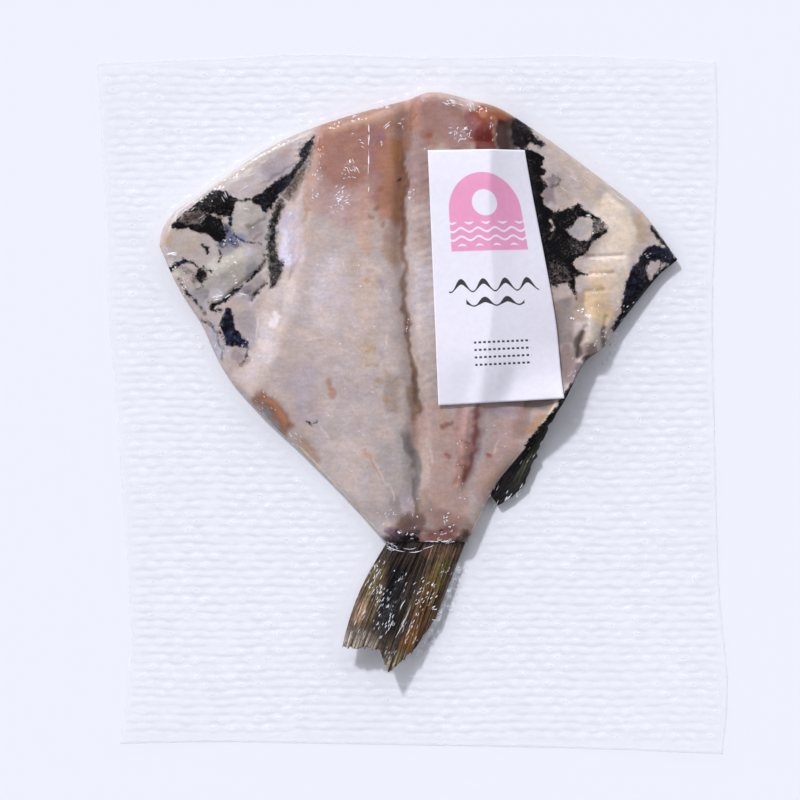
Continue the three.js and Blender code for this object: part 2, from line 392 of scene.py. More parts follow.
def flat_places(piece: Piece) -> tuple[Array, Array]:
    """Give the x and y of a piece's vertices in millimetres."""
    places = np.empty(len(piece.data.vertices) * 3, np.float32)
    piece.data.vertices.foreach_get("co", places)
    places = places.reshape(-1, 3).astype(float) / MM
    return places[:, 0], places[:, 1]


def edge_loop(rows: int, columns: int) -> list[int]:
    """List a grid's border indices, anticlockwise seen from above, from its first corner."""
    low = list(range(columns - 1))
    right = [row * columns + columns - 1 for row in range(rows - 1)]
    high = [(rows - 1) * columns + column for column in range(columns - 1, 0, -1)]
    left = [row * columns for row in range(rows - 1, 0, -1)]
    return low + right + high + left


def grid_faces(rows: int, columns: int, start: int = 0, flipped: bool = False) -> list:
    """List the four-cornered faces of a grid of points.

    Args:
        rows: rows of points.
        columns: points in a row.
        start: index of the first point.
        flipped: True to face down.

    Returns:
        Corner indices of each face.
    """
    first = (np.arange(rows - 1)[:, None] * columns + np.arange(columns - 1)).ravel() + start
    ring = np.stack([first, first + 1, first + columns + 1, first + columns], -1)
    return (ring[:, ::-1] if flipped else ring).tolist()


@dataclass
class Slab:
    """A closed body between a fine upper grid and a coarser lower grid, with a rounded border.

    Attributes:
        name: name of the piece.
        top: upper points, rows by columns by three, in millimetres.
        bottom: lower points of the same count.
        stride: how many fine steps make one lower step.
        bulge: how far the border stands out half way down.
    """

    name: str
    top: Array
    bottom: Array
    stride: int = 1
    bulge: float = 0.0

    def build(self) -> Piece:
        """Build the mesh: its second material slot is for the lower side.

        Returns:
            The object.
        """
        rows, columns = self.top.shape[:2]
        coarse = self.bottom[:: self.stride, :: self.stride]
        loop = edge_loop(rows, columns)
        upper = self.top.reshape(-1, 3)
        rim = (upper[loop] + self.bottom.reshape(-1, 3)[loop]) / 2
        ahead = np.roll(rim, -1, 0)[:, :2] - np.roll(rim, 1, 0)[:, :2]
        ahead /= np.linalg.norm(ahead, axis=1, keepdims=True) + TINY
        rim[:, :2] += self.bulge * np.stack([ahead[:, 1], -ahead[:, 0]], -1)
        count, ring_start = len(loop), len(upper)
        low_start = ring_start + count
        low_loop = [low_start + index for index in edge_loop(*coarse.shape[:2])]
        faces = grid_faces(rows, columns)
        for step in range(count):
            after = (step + 1) % count
            faces.append([ring_start + step, ring_start + after, loop[after], loop[step]])
        under = len(faces)
        for step, near in enumerate(low_loop):
            far = low_loop[(step + 1) % len(low_loop)]
            fine = [ring_start + (step * self.stride + part) % count for part in range(self.stride + 1)]
            middle = self.stride // 2
            before, behind = fine[: middle + 1], fine[middle:]
            faces += [[near, second, first] for first, second in zip(before, before[1:])]
            faces.append([near, far, fine[middle]])
            faces += [[far, second, first] for first, second in zip(behind, behind[1:])]
        faces += grid_faces(*coarse.shape[:2], low_start, True)
        piece = new_piece(self.name, np.vstack([upper, rim, coarse.reshape(-1, 3)]), faces)
        sides = np.zeros(len(faces), np.int32)
        sides[under:] = 1
        piece.data.polygons.foreach_set("material_index", sides)
        return piece

    def spread(self, across: Array, along: Array) -> Array:
        """Spread two shares of the upper grid over all vertices, in their order.

        Args:
            across: first share at each upper point.
            along: second share at each upper point.

        Returns:
            Both shares and zero for each vertex.
        """
        grid = np.dstack([across, along, np.zeros(across.shape)])
        flat = grid.reshape(-1, 3)
        lower = grid[:: self.stride, :: self.stride].reshape(-1, 3)
        return np.vstack([flat, flat[edge_loop(*across.shape)], lower])


# The fish's form, with the same sizes as its solid

FILM_THICKNESS = 0.6
CLEARANCE = 0.4
POUCH_LEFT = Curve(
    (-117, -136), (-113, -98), (-113.4, -78), (-117, -22), (-121, 29), (-123.4, 87), (-126, 136)
)
POUCH_RIGHT = Curve(
    (123.8, -140), (126, -114), (123, -78), (121, -14), (120.2, 41), (122.2, 101), (121.4, 136.6)
)
POUCH_LOW = Curve((-117, -136), (-85, -135.4), (-5, -136.6), (75, -138.2), (123.8, -140))
POUCH_HIGH = Curve((-126, 136), (-72, 138.6), (-42, 140), (14, 138.6), (65, 139.4), (121.4, 136.6))
POUCH_LIFTS = (
    Swell((-8, -78), 52, 0.8),
    Swell((-98, 64), 46, 1.2),
    Swell((-126, 138), 48, 2.4),
    Swell((121, 138), 56, 1.6),
    Swell((124, -140), 66, 2.8),
    Swell((-117, -137), 50, 2),
    Swell((-120, -30), 44, 1.5),
    Swell((122, -36), 40, 1.2),
)
GROOVE = Curve((-0.2, -55), (1.6, -27), (1.8, 0), (-1.6, 30), (-3.8, 64), (-3, 95), (-2, 120.6))
BACKBONE = Curve((11, -55), (17, -38.6), (23.8, -18.6), (27, 1.4), (31.6, 41), (30, 81), (32, 122))
LEFT_CAVITY = Curve((-105, -55), (-78, -12), (-64, 7.4), (-53, 31), (-46, 56), (-43, 81), (-36, 110))
LEFT_ROOT = Curve((-0.2, -55), (-10.2, -54.8))
LEFT_EDGE = Curve(
    (-10.2, -54.8), (-24.6, -38.6), (-45, -17.9), (-63.4, -0.2), (-75, 13.6), (-84.3, 32.8), (-93, 46.4),
    (-100.4, 63),
)
LEFT_NAPE = Curve(
    (-2, 120.6), (-27.4, 113.6), (-47.9, 106.4), (-60.2, 99.8), (-81.4, 85.2), (-95, 75.4), (-99.4, 69),
    (-100.4, 63),
)
RIGHT_ROOT = Curve((-0.2, -55), (21.8, -54.8))
RIGHT_EDGE = Curve(
    (21.8, -54.8), (31.6, -34.6), (42, -20.6), (58, -2), (68.6, 17.1), (75.6, 22.5), (81, 30.2), (87.2, 38.4),
    (93.4, 46.2), (98.8, 52.4), (105.2, 57.5),
)
RIGHT_NAPE = Curve(
    (-2, 120.6), (8, 123.8), (23, 120.6), (34, 117.4), (53, 105.6), (78.7, 86.4), (91, 76.4), (105.2, 57.5)
)
FLESH_SWELLS = (
    Swell((76, 52), 34, 2.2),
    Swell((-84, 62), 24, 1.6),
    Swell((-66, 84), 18, 1.3),
    Swell((71, 27), 13, 3.4),
    Swell((104, 54), 36, -2.4),
    Swell((66, 4), 22, 1.8),
    Swell((-40, -30), 26, -2),
)
RIM_SWELLS = (
    Swell((56, -2), 40, 6),
    Swell((64, 9), 20, 2),
    Swell((24, -50), 20, 1.4),
)
ROOT_THICKNESS = 6.5
FILLET_THICKNESS = 12.5
FILLET_GROWTH = (-60, 25)
NAPE_THINNING = 2
NAPE_RANGE = (85, 122)
FILLET_FALL = 2.6
FALL_FROM_GROOVE = (10, 46)
GROOVE_DEPTH = 4
GROOVE_HALF_WIDTH = 3.4
GROOVE_ROOT_SHARE = 0.3
GROOVE_OPENING = (-50, -10)
LEFT_FLAP_THICKNESS = 4.4
LEFT_CAVITY_STEP = (-5, 11)
RIGHT_CAVITY_THICKNESS = 5.4
RIGHT_CAVITY_STEP = (4.6, 13)
RIGHT_CAVITY_OPENING = (-8, 14)
RIDGE_HEIGHT = 3.2
RIDGE_HALF_WIDTH = 4.6
RIDGE_GROWTH = (-44, 40)

# Fine ribs across the muscle, which slant to the backbone
MUSCLE_PITCH = 3.6
MUSCLE_SLANT = 0.3


def bed_at(x: Array, y: Array) -> Array:
    """Height of the pouch's lower face over the table."""
    return swells_at(x, y, POUCH_LIFTS)


def skin_at(x: Array, y: Array) -> Array:
    """Height of the skin where the fish rests on the film."""
    return bed_at(x, y) + FILM_THICKNESS + CLEARANCE


def flesh_at(x: Array, y: Array) -> Array:
    """Give the thickness of the flesh away from its rim.

    Args:
        x: millimetres to the right.
        y: millimetres towards the nape.

    Returns:
        The thickness in millimetres.
    """
    from_groove = x - GROOVE.x_at(y)
    flesh = blend(ROOT_THICKNESS, FILLET_THICKNESS, ease(y, *FILLET_GROWTH))
    flesh = flesh - NAPE_THINNING * ease(y, *NAPE_RANGE)
    flesh = flesh - FILLET_FALL * ease(np.abs(from_groove), *FALL_FROM_GROOVE)
    depth = GROOVE_DEPTH * blend(GROOVE_ROOT_SHARE, 1, ease(y, *GROOVE_OPENING))
    flesh = flesh - depth * np.exp(-((from_groove / GROOVE_HALF_WIDTH) ** 2))
    left = blend(flesh, LEFT_FLAP_THICKNESS, ease(LEFT_CAVITY.x_at(y) - x, *LEFT_CAVITY_STEP))
    from_backbone = x - BACKBONE.x_at(y)
    cavity = ease(y, *RIGHT_CAVITY_OPENING) * ease(from_backbone, *RIGHT_CAVITY_STEP)
    ridge = RIDGE_HEIGHT * ease(y, *RIDGE_GROWTH) * np.exp(-((from_backbone / RIDGE_HALF_WIDTH) ** 2))
    right = blend(flesh, RIGHT_CAVITY_THICKNESS, cavity) + ridge
    return np.where(from_groove < 0, left, right) + swells_at(x, y, FLESH_SWELLS)


# Marks on the flesh, each placed in pixels of the photograph

@dataclass(frozen=True)
class Stroke:
    """A soft stroke of colour.

    Attributes:
        name: what it shows.
        colour: its colour as seen, 0 to 255.
        path: corners of its line, or one spot.
        width: distance from the line that keeps full strength.
        soft: distance over which it fades.
        strength: how much it covers.
    """

    name: str
    colour: Colour
    path: tuple[Point, ...]
    width: float
    soft: float
    strength: float = 0.8


@dataclass(frozen=True)
class Membrane:
    """A rag or a strand of the dark belly lining.

    Attributes:
        name: what it shows.
        outline: corners of its outline, or of its line where it is a strand.
        strand: half of a strand's width, or 0 for an outline.
        density: how closed it is.
        blue: how much it shows navy blue with painted light-blue sheen.
        hole: True for a gap in what comes before it.
    """

    name: str
    outline: tuple[Point, ...]
    strand: float = 0.0
    density: float = 1.0
    blue: float = 0.0
    hole: bool = False


@dataclass(frozen=True)
class Fold:
    """A ridge or a crease in a surface.

    Attributes:
        name: what it shows.
        path: corners of its line.
        width: half of its width in pixels.
        height: its height in millimetres, negative for a crease.
    """

    name: str
    path: tuple[Point, ...]
    width: float
    height: float


SLENDER = 3.0
FADE = 0.12
FLESH_COLOUR = (191, 178, 177)
FLESH_STROKES = tuple(Stroke(*row) for row in (
    ("left fillet", (195, 182, 182), ((345, 255), (335, 330), (345, 420), (372, 480)), 34, 24),
    ("pale middle of the fillet", (207, 195, 199), ((330, 270), (324, 318)), 7, 15),
    ("tan side of the fillet", (201, 181, 173), ((368, 258), (368, 340)), 5, 10),
    ("dusk of the fillet", (193, 174, 168), ((356, 250), (356, 300)), 3, 8, 0.6),
    ("yellow of the fillet", (196, 177, 159), ((369, 346), (368, 362)), 4, 8, 0.7),
    ("lilac of the low fillet", (185, 172, 180), ((304, 372), (300, 392), (312, 412)), 8, 12),
    ("dull low fillet", (184, 170, 170), ((324, 384), (350, 390), (385, 388)), 6, 12, 0.6),
    ("pale low fillet", (203, 190, 190), ((334, 458), (346, 452)), 8, 14),
    ("brown by the groove's foot", (168, 150, 142), ((392, 372), (393, 402), (396, 416)), 4, 8),
    ("grey beside the vein", (178, 168, 169), ((386, 440), (392, 468), (396, 500)), 6, 10),
    ("low end of the left side", (173, 161, 162), ((372, 506), (392, 507)), 5, 8),
    ("pale end of the left side", (190, 182, 182), ((374, 521), (383, 531)), 3, 4),
    ("ground of the nape", (170, 136, 126), ((330, 136), (362, 124), (400, 116), (440, 118)), 11, 10, 0.9),
    ("ground by the groove", (164, 124, 108), ((392, 118), (392, 170), (388, 214)), 11, 10, 0.85),
    ("fading brown of the fillet", (180, 149, 146), ((338, 196), (352, 204)), 14, 24, 0.85),
    ("upper fillet", (158, 116, 105), ((346, 144), (346, 160)), 22, 20, 0.95),
    ("pale of the upper fillet", (187, 163, 165), ((338, 200), (338, 214)), 5, 9, 0.7),
    ("pink side of the fillet", (188, 151, 140), ((364, 194), (366, 216)), 3, 7),
    ("warm side of the fillet", (199, 169, 155), ((365, 228), (367, 250)), 4, 8),
    ("nape of the fillet", (184, 149, 136), ((326, 133), (350, 122), (374, 114), (394, 108)), 5, 8, 0.85),
    ("between the lines", (162, 120, 115), ((376, 124), (379, 170), (379, 206)), 5, 8, 0.88),
    ("violet bruise", (150, 109, 119), ((380, 140), (381, 164)), 3, 6),
    ("brown by the groove", (171, 123, 100), ((390, 140), (391, 190), (390, 230)), 6, 11, 0.9),
    ("ochre by the groove", (158, 108, 70), ((396, 140), (397, 170)), 2.5, 6, 0.85),
    ("dark by the groove", (151, 107, 84), ((400, 160), (399, 205), (397, 236)), 2.5, 7, 0.75),
    ("lower brown", (172, 144, 128), ((391, 238), (392, 256)), 4, 10),
    ("upper strip", (160, 133, 130), ((416, 128), (419, 150), (420, 180), (422, 212)), 8, 8, 0.9),
    ("middle strip", (179, 161, 158), ((423, 215), (424, 238)), 8, 9, 0.85),
    ("pale strip", (199, 188, 192), ((425, 262), (425, 300), (426, 340)), 8, 7, 0.9),
    ("low strip", (183, 169, 166), ((428, 362), (430, 384)), 7, 9, 0.85),
    ("strip's foot", (177, 158, 150), ((428, 398), (430, 412)), 5, 7, 0.7),
    ("right lower flesh", (182, 155, 149), ((434, 425), (441, 470), (447, 500)), 16, 14, 0.9),
    ("strip beside the vein", (188, 170, 163), ((427, 436), (426, 460), (427, 484)), 3, 6, 0.85),
    ("right of the trough", (186, 159, 156), ((506, 430), (500, 452), (487, 486)), 10, 10, 0.9),
    # Lilac flesh, darkened with painted shade under the label's lower edge
    ("lilac with painted shade under the label", (164, 144, 154), ((494, 408), (512, 406)), 5, 8),
    ("pink right side", (166, 135, 131), ((524, 412), (522, 432)), 4, 8),
    ("shade under the label", (122, 104, 102), ((520, 404), (545, 402), (556, 400)), 3, 6, 0.75),
    ("pale right edge", (188, 161, 152), ((512, 446), (498, 470), (482, 492)), 3, 6),
    ("ridge", (177, 138, 134), ((464, 412), (462, 438)), 5, 6),
    ("brown of the ridge", (158, 114, 104), ((464, 444), (461, 466), (457, 488)), 3, 6, 0.75),
    ("mauve of the trough", (142, 108, 110),
     ((480, 402), (478, 420), (474, 446), (466, 470), (460, 488)), 3, 7, 0.7),
    ("blood trough", (104, 56, 52),
     ((480, 400), (478, 420), (474, 444), (469, 460), (464, 474), (460, 488)), 0.5, 4.6, 0.78),
    ("lump of the ridge", (190, 158, 153), ((469, 415),), 2, 5, 0.7),
    ("lump of the trough", (176, 134, 126), ((476, 424),), 1, 3.4, 0.6),
    ("lump of the trough", (168, 118, 106), ((471, 448),), 1, 3.2, 0.6),
    ("lump of the trough", (172, 124, 108), ((466, 462),), 1, 3.2, 0.6),
    ("lump of the ridge", (188, 154, 149), ((466, 432),), 2, 5, 0.7),
    ("lump of the ridge", (184, 144, 132), ((461, 453),), 1.6, 4, 0.6),
    ("gap in the ridge", (124, 84, 70), ((462, 443), (467, 445)), 0.8, 3, 0.7),
    ("gap in the ridge", (126, 78, 66), ((459, 462), (466, 465)), 0.8, 3, 0.7),
    ("yellow edge", (192, 157, 130), ((545, 412), (536, 426), (528, 436)), 3, 6, 0.85),
    ("red spot", (160, 74, 68), ((488, 455),), 1.6, 3.4),
    ("red spot", (156, 88, 78), ((447, 456),), 1.4, 2.8),
    ("brown dash", (134, 94, 82), ((440, 428), (455, 423)), 0.8, 2.4, 0.75),
    ("lilac above the root", (186, 172, 184), ((406, 498), (408, 512)), 3, 5, 0.7),
    ("line above the root", (128, 104, 96), ((417, 494), (417.5, 512), (416, 528)), 0.6, 1.8, 0.8),
    ("tail root", (151, 123, 116), ((432, 516), (448, 522), (462, 526)), 5, 8, 0.85),
    ("root ground", (128, 94, 88), ((392, 536), (425, 536), (462, 534)), 7, 6, 0.9),
    ("dark tail root", (104, 80, 80), ((394, 534), (412, 524), (422, 532)), 3.5, 6, 0.9),
    ("red of the root", (118, 78, 73), ((432, 536), (446, 535)), 3, 5, 0.85),
    ("ochre tail root", (150, 134, 92), ((397, 514), (400, 524)), 2, 4, 0.7),
    ("purple of the root", (108, 80, 98), ((390, 530), (396, 538)), 3, 4, 0.85),
    ("bulge of the root", (70, 66, 74), ((400, 535), (414, 536)), 3, 5, 0.8),
    ("right of the nape", (160, 124, 118), ((424, 116), (446, 122), (462, 134)), 16, 10, 0.92),
    ("lilac at the nape", (172, 140, 143), ((452, 128), (460, 138)), 4, 7, 0.6),
    ("brown at the nape", (154, 112, 100), ((428, 138), (434, 146)), 3, 6, 0.7),
    ("orange by the nape", (177, 132, 111), ((412, 106), (414, 120), (419, 134)), 3, 5, 0.7),
    ("rose at the nape", (146, 96, 96), ((472, 112), (474, 130), (474, 146)), 4, 6, 0.9),
    ("thin skin at the nape", (178, 158, 152), ((410, 99), (432, 96), (455, 97), (470, 102)), 1.5, 2.6, 0.85),
    ("rust", (138, 66, 28), ((480, 115), (494, 120), (508, 122)), 6, 6, 0.92),
    ("rust at the backbone", (106, 38, 20), ((482, 132), (485, 150)), 6, 5, 0.92),
    ("pale spot of the rust", (180, 126, 105), ((482, 115),), 1.5, 4),
    ("blood at the backbone", (88, 26, 20), ((483, 134), (483, 141)), 2.4, 4, 0.9),
    ("brown by the knot", (58, 27, 20), ((499, 132), (503, 150)), 6, 5, 0.92),
    ("dark fleck of the rust", (72, 26, 14), ((499, 126),), 1.8, 2.5, 0.85),
    ("dark beside the knot", (74, 54, 47), ((508, 127), (510, 146)), 3, 4, 0.85),
    ("pale tendon", (178, 130, 100), ((494, 118), (492, 132), (490, 146)), 0.8, 1.8, 0.7),
    ("rim of the rust", (146, 106, 86), ((484, 107), (498, 112), (512, 119)), 2.4, 4, 0.85),
    ("upper groove", (150, 112, 94), ((409, 104), (407, 130), (406, 158)), 2, 4),
    ("groove", (126, 90, 76), ((406, 146), (404, 197), (403, 250)), 1.0, 3.6, 0.92),
    ("middle groove", (132, 104, 90), ((403, 226), (404, 266), (405, 300), (408, 338)), 0.8, 4, 0.88),
    ("lower groove", (130, 104, 90), ((405, 306), (410, 345), (413, 372), (416, 402)), 0.6, 3.2, 0.88),
    ("dark low groove", (118, 92, 78), ((412, 362), (415, 384), (416.5, 402), (418, 418)), 1, 3.8, 0.88),
    ("amber by the groove", (156, 122, 86), ((410, 384), (412, 404), (416, 424)), 1, 3.4, 0.6),
    ("grey by the vein", (170, 168, 167), ((401, 424), (404, 450), (408, 482)), 3, 5, 0.7),
    ("vein", (122, 119, 120),
     ((406, 424), (409, 440), (414, 460), (416, 480), (419, 500), (421, 520)), 1.8, 4.4, 0.88),
    ("dark below the vein", (128, 108, 102), ((420, 505), (420, 520)), 2, 5, 0.8),
    ("dusk above the root", (156, 142, 142), ((393, 498), (395, 510), (396, 520)), 4, 5, 0.7),
    ("dusk beside the root", (158, 138, 130), ((425, 496), (427, 512)), 3, 5, 0.7),
    ("dark of the root", (108, 84, 80), ((402, 522), (412, 519), (421, 521)), 3, 5, 0.8),
    ("left flap", (190, 184, 182), ((200, 262), (225, 275), (250, 240), (245, 290)), 24, 14, 0.9),
    ("left of the flap", (183, 173, 168), ((178, 244), (194, 246)), 8, 7, 0.85),
    ("blue of the flap", (84, 90, 116), ((222, 238), (228, 232), (232, 238)), 3, 5, 0.8),
    # Painted sheen: the light blue glow on the blue tissue of the flap
    ("painted blue sheen of the flap", (126, 138, 172), ((232, 240), (240, 240), (246, 241)), 2, 4, 0.8),
    ("grey of the flap", (150, 145, 154), ((224, 251), (240, 250)), 3, 5, 0.7),
    ("upper left flap", (193, 184, 188), ((206, 192), (240, 180), (286, 152)), 12, 10, 0.9),
    ("pale upper rim", (212, 209, 200), ((222, 180), (240, 172), (256, 163)), 3, 6),
    ("shade on the flap", (174, 163, 170), ((270, 172), (286, 164)), 4, 6),
    ("pink line on the flap", (196, 162, 162), ((262, 167), (277, 158), (293, 150)), 0.7, 1.8, 0.6),
    # Painted shade: a thin grey line of shading on the flap
    ("painted shade line on the flap", (140, 130, 140),
     ((258, 186), (268, 179), (282, 170), (299, 160)), 0.6, 1.6, 0.6),
    ("brown beside the rag", (144, 122, 112), ((299, 180), (292, 194)), 4, 5, 0.8),
    ("pink of the wedge", (156, 136, 138), ((184, 218), (204, 212)), 6, 6, 0.9),
    ("round lump", (190, 186, 183), ((246, 210), (249, 222)), 8, 6, 0.88),
    ("right of the lump", (166, 155, 160), ((258, 231), (257, 248)), 5, 6, 0.7),
    ("line on the lump", (128, 112, 112), ((266, 214), (255, 223), (247, 230)), 0.5, 1.4, 0.6),
    ("line below the lump", (132, 116, 120), ((264, 232), (255, 240)), 0.5, 1.4, 0.6),
    ("lower lump", (198, 194, 187), ((222, 272), (240, 262)), 8, 8, 0.88),
    ("lilac by the lump", (184, 177, 184), ((250, 256), (258, 262)), 4, 5, 0.75),
    ("lower flap", (186, 181, 182), ((206, 298), (216, 284), (228, 284)), 5, 6, 0.7),
    ("veil by the lip", (126, 120, 126), ((244, 290), (250, 289)), 3, 4, 0.8),
    ("grey of the rim", (142, 135, 139), ((196, 292), (203, 298)), 3, 4, 0.7),
    ("pale under the lip", (206, 198, 203), ((212, 297), (220, 295)), 3, 4),
    ("right of the lip", (186, 178, 186), ((240, 297), (248, 300)), 4, 5, 0.75),
    ("grey under the lump", (150, 143, 150), ((252, 272), (254, 288)), 4, 6, 0.7),
    ("tan rim", (192, 162, 138), ((170, 231), (169, 248)), 2, 3.4, 0.85),
    ("yellow rim", (202, 200, 186), ((168, 257), (172, 268), (177, 282)), 2.5, 3),
    ("pale tissue", (195, 186, 203), ((291, 205), (290, 250), (288, 266)), 5, 6, 0.92),
    ("pink tissue", (206, 190, 196), ((300, 226), (300, 262)), 4, 6, 0.85),
    # Painted highlight: a bluish white streak along the edge of the pale tissue
    ("pale tissue's edge with painted blue white highlight", (222, 220, 240), ((285, 230), (285, 252), (287, 268)), 1.6, 5, 0.55),
    ("tissue's foot", (204, 193, 192), ((288, 284), (289, 298)), 4, 5),
    ("pale fold", (201, 191, 195), ((272, 312), (270, 332), (266, 368)), 4, 8, 0.88),
    # Painted highlight on the crest of the pale fold
    ("painted highlight on the pale fold", (230, 219, 224), ((277, 316), (274, 326)), 2, 4),
    ("shade beside the fold", (167, 160, 165), ((246, 310), (250, 332), (250, 352)), 5, 7, 0.85),
    ("grey skin", (183, 180, 193), ((208, 322), (217, 344), (224, 358)), 4, 4, 0.9),
    ("line of the grey skin", (114, 109, 115),
     ((203, 318), (214, 332), (222, 348), (226, 362)), 0.6, 1.5, 0.7),
    ("rim of the flap", (174, 168, 173), ((186, 290), (196, 300), (206, 314)), 3, 4),
    ("pink end", (150, 134, 144), ((238, 354), (244, 358)), 4, 4, 0.7),
    ("seam", (178, 146, 134), ((322, 130), (313, 162), (311, 196), (310, 216)), 2.5, 4),
    ("lower seam", (184, 164, 158), ((311, 222), (308, 250)), 3, 4, 0.7),
    ("seam mark", (146, 92, 70), ((321, 143), (320, 152)), 1, 2.4, 0.75),
    ("seam mark", (160, 104, 68), ((325, 146), (326, 152)), 0.8, 2, 0.6),
    ("seam mark", (166, 122, 80), ((308, 172), (307, 180)), 0.8, 2, 0.6),
    ("seam mark", (168, 132, 88), ((310, 206), (307, 222)), 1, 2.4, 0.6),
    ("brown corner", (146, 108, 92), ((254, 393), (264, 402), (278, 414), (291, 434)), 5, 8, 0.92),
    ("orange corner", (186, 128, 92), ((264, 398), (276, 408), (287, 424)), 1.2, 3.6),
    ("grey skin at the corner", (134, 132, 136), ((258, 406), (270, 422), (284, 438), (294, 444)), 1.6, 2.6),
    ("tan below the corner", (178, 150, 132), ((298, 438), (312, 452), (322, 464)), 2.5, 6),
    ("upper right flap", (191, 178, 175), ((556, 162), (578, 186), (598, 206)), 11, 12, 0.9),
    ("dusk by the band", (136, 122, 128), ((549, 176), (550, 206)), 3, 6, 0.85),
    ("tan of the flap", (176, 162, 155), ((562, 180), (566, 204)), 3, 6, 0.7),
    ("cream ground of the flap", (220, 205, 190),
     ((600, 204), (616, 240), (606, 270), (598, 292)), 14, 12, 0.75),
    ("outer cream", (226, 213, 199), ((596, 196), (612, 212), (622, 234), (616, 256)), 9, 9, 0.92),
    ("yellow cream", (198, 184, 168), ((588, 192), (594, 206)), 3, 6, 0.6),
    ("tan tip", (192, 172, 154), ((632, 212), (641, 228), (640, 244)), 4, 6, 0.85),
    ("cream of the flap", (234, 221, 212), ((606, 256), (618, 258)), 6, 9, 0.92),
    ("warm cream", (228, 208, 190), ((600, 272), (606, 284)), 8, 9, 0.9),
    ("yellow of the flap", (206, 181, 148), ((594, 296), (598, 312)), 9, 8, 0.92),
    ("pale edge by the tip", (206, 192, 182), ((617, 278), (615, 312)), 3, 5),
    ("island", (168, 162, 164), ((574, 230), (584, 226)), 6, 6, 0.9),
    ("beside the label", (142, 131, 130), ((558, 294), (563, 330), (566, 350)), 6, 7, 0.9),
    ("left of the stub", (162, 144, 132), ((577, 290), (578, 326)), 4, 6, 0.85),
    ("stub", (197, 184, 171), ((590, 326), (590, 340)), 4, 5, 0.85),
    ("stub's end", (136, 120, 115), ((588, 350),), 4, 5),
    ("stub's left groove", (82, 70, 68), ((582, 330), (577, 346), (577, 358)), 1.4, 4, 0.85),
    ("stub's right groove", (110, 98, 94), ((604, 324), (602, 338), (600, 348)), 1.2, 3, 0.85),
    ("stub's tip", (62, 48, 46), ((580, 362), (590, 359), (598, 353)), 2, 3.4, 0.9),
    ("pink below the stub", (138, 119, 119), ((566, 354), (566, 376)), 4, 6, 0.85),
    ("dusk below the stub", (100, 88, 96), ((577, 360), (575, 384)), 2.5, 4, 0.85),
    ("ring spot", (134, 98, 82), ((380, 190),), 1, 3, 0.7),
    ("ring spot", (132, 98, 80), ((379, 208),), 1.4, 3.4, 0.7),
    ("ring spot", (138, 104, 88), ((371, 219),), 1, 3, 0.6),
    ("ring spot", (132, 92, 74), ((384, 228),), 1, 2.6, 0.6),
    ("black dot", (36, 24, 20), ((397, 183),), 1, 1.8, 0.9),
    ("orange spot", (190, 150, 118), ((367, 283),), 1.4, 3.4),
    ("violet spot", (170, 150, 172), ((378, 284), (383, 288)), 1.4, 3, 0.7),
    ("tan dash", (178, 152, 128), ((366, 352), (378, 350)), 0.8, 2.4, 0.7),
    ("tan dash", (178, 152, 128), ((366, 366), (380, 368)), 0.8, 2.4, 0.6),
    ("tan dash", (178, 150, 122), ((372, 384), (384, 384)), 0.8, 2.6, 0.7),
    ("tan dash", (184, 150, 120), ((382, 400), (394, 398)), 0.8, 2.6, 0.6),
    ("red streak", (176, 136, 118), ((330, 380), (335, 400)), 0.8, 5, 0.75),
    ("orange streak", (188, 156, 132), ((362, 452), (372, 457), (382, 474)), 0.8, 4, 0.7),
    ("red dot at the nape", (152, 84, 62), ((430, 139),), 1.4, 3),
    ("red dot at the nape", (156, 96, 78), ((415, 118),), 1, 2.6, 0.7),
))
WISPS = (
    ((300, 292), (308, 291), (316, 287)), ((364, 268), (374, 272), (384, 278)),
    ((384, 284), (390, 292), (392, 304)), ((322, 300), (325, 310), (330, 318)),
    ((306, 342), (316, 340), (327, 333)), ((386, 334), (388, 352)), ((352, 322), (360, 330)),
    ((376, 458), (384, 478), (395, 500)), ((318, 426), (330, 440)), ((350, 404), (358, 416)),
    ((432, 444), (436, 462)), ((498, 436), (494, 452)), ((344, 262), (349, 274)), ((596, 222), (606, 240)),
    ((566, 168), (578, 182)), ((604, 200), (618, 222)), ((228, 180), (246, 172)), ((258, 318), (256, 340)),
)
FLESH_STROKES += tuple(Stroke("pale wisp", (217, 205, 205), path, 0.3, 1.8, 0.55) for path in WISPS)
RIM_STROKES = tuple(Stroke(*row) for row in (
    # Painted shade: the lit rim of the left flap is drawn darker against the light it catches
    ("painted shade on the lit rim of the left flap", (180, 173, 170),
     ((164, 246), (178, 213), (216, 184), (262, 156), (320, 129)), 3.4, 5, 0.9),
    # Painted shade: the lit rim of the nape is drawn darker against the light it catches
    ("painted shade on the lit rim of the nape", (158, 128, 116), ((316, 132), (344, 121), (380, 109), (409, 99)), 2.6, 4, 0.85),
    ("thin rim of the left flap", (214, 208, 206),
     ((164, 246), (178, 213), (216, 184), (262, 156), (320, 129)), 0.5, 1.4, 0.7),
    ("cream rim of the tail part", (236, 222, 204),
     ((560, 394), (546, 417), (532, 438), (514, 460), (495, 491), (483, 511), (470, 534)), 0.6, 1.1, 0.9),
    ("cream rim of the left part", (216, 204, 192),
     ((296, 442), (330, 478), (360, 512), (386, 539)), 0.6, 1.2, 0.8),
    ("olive rim of the nape", (150, 128, 104), ((472, 104), (498, 109), (520, 121)), 0.8, 1.8, 0.7),
    # Painted shade: the lit rim of the right flap is drawn darker against the light it catches
    ("painted shade on the lit rim of the right flap", (186, 174, 166),
     ((524, 122), (560, 152), (600, 184), (640, 216)), 2, 4, 0.8),
    ("root's lip on the left", (58, 47, 53), ((380, 541), (400, 543), (418, 543)), 2, 7, 0.95),
    ("root's lip on the right", (138, 104, 102), ((416, 544), (440, 544), (462, 541)), 2, 6, 0.92),
    ("root's right corner", (92, 72, 62), ((458, 541), (466, 533)), 2, 4, 0.85),
))
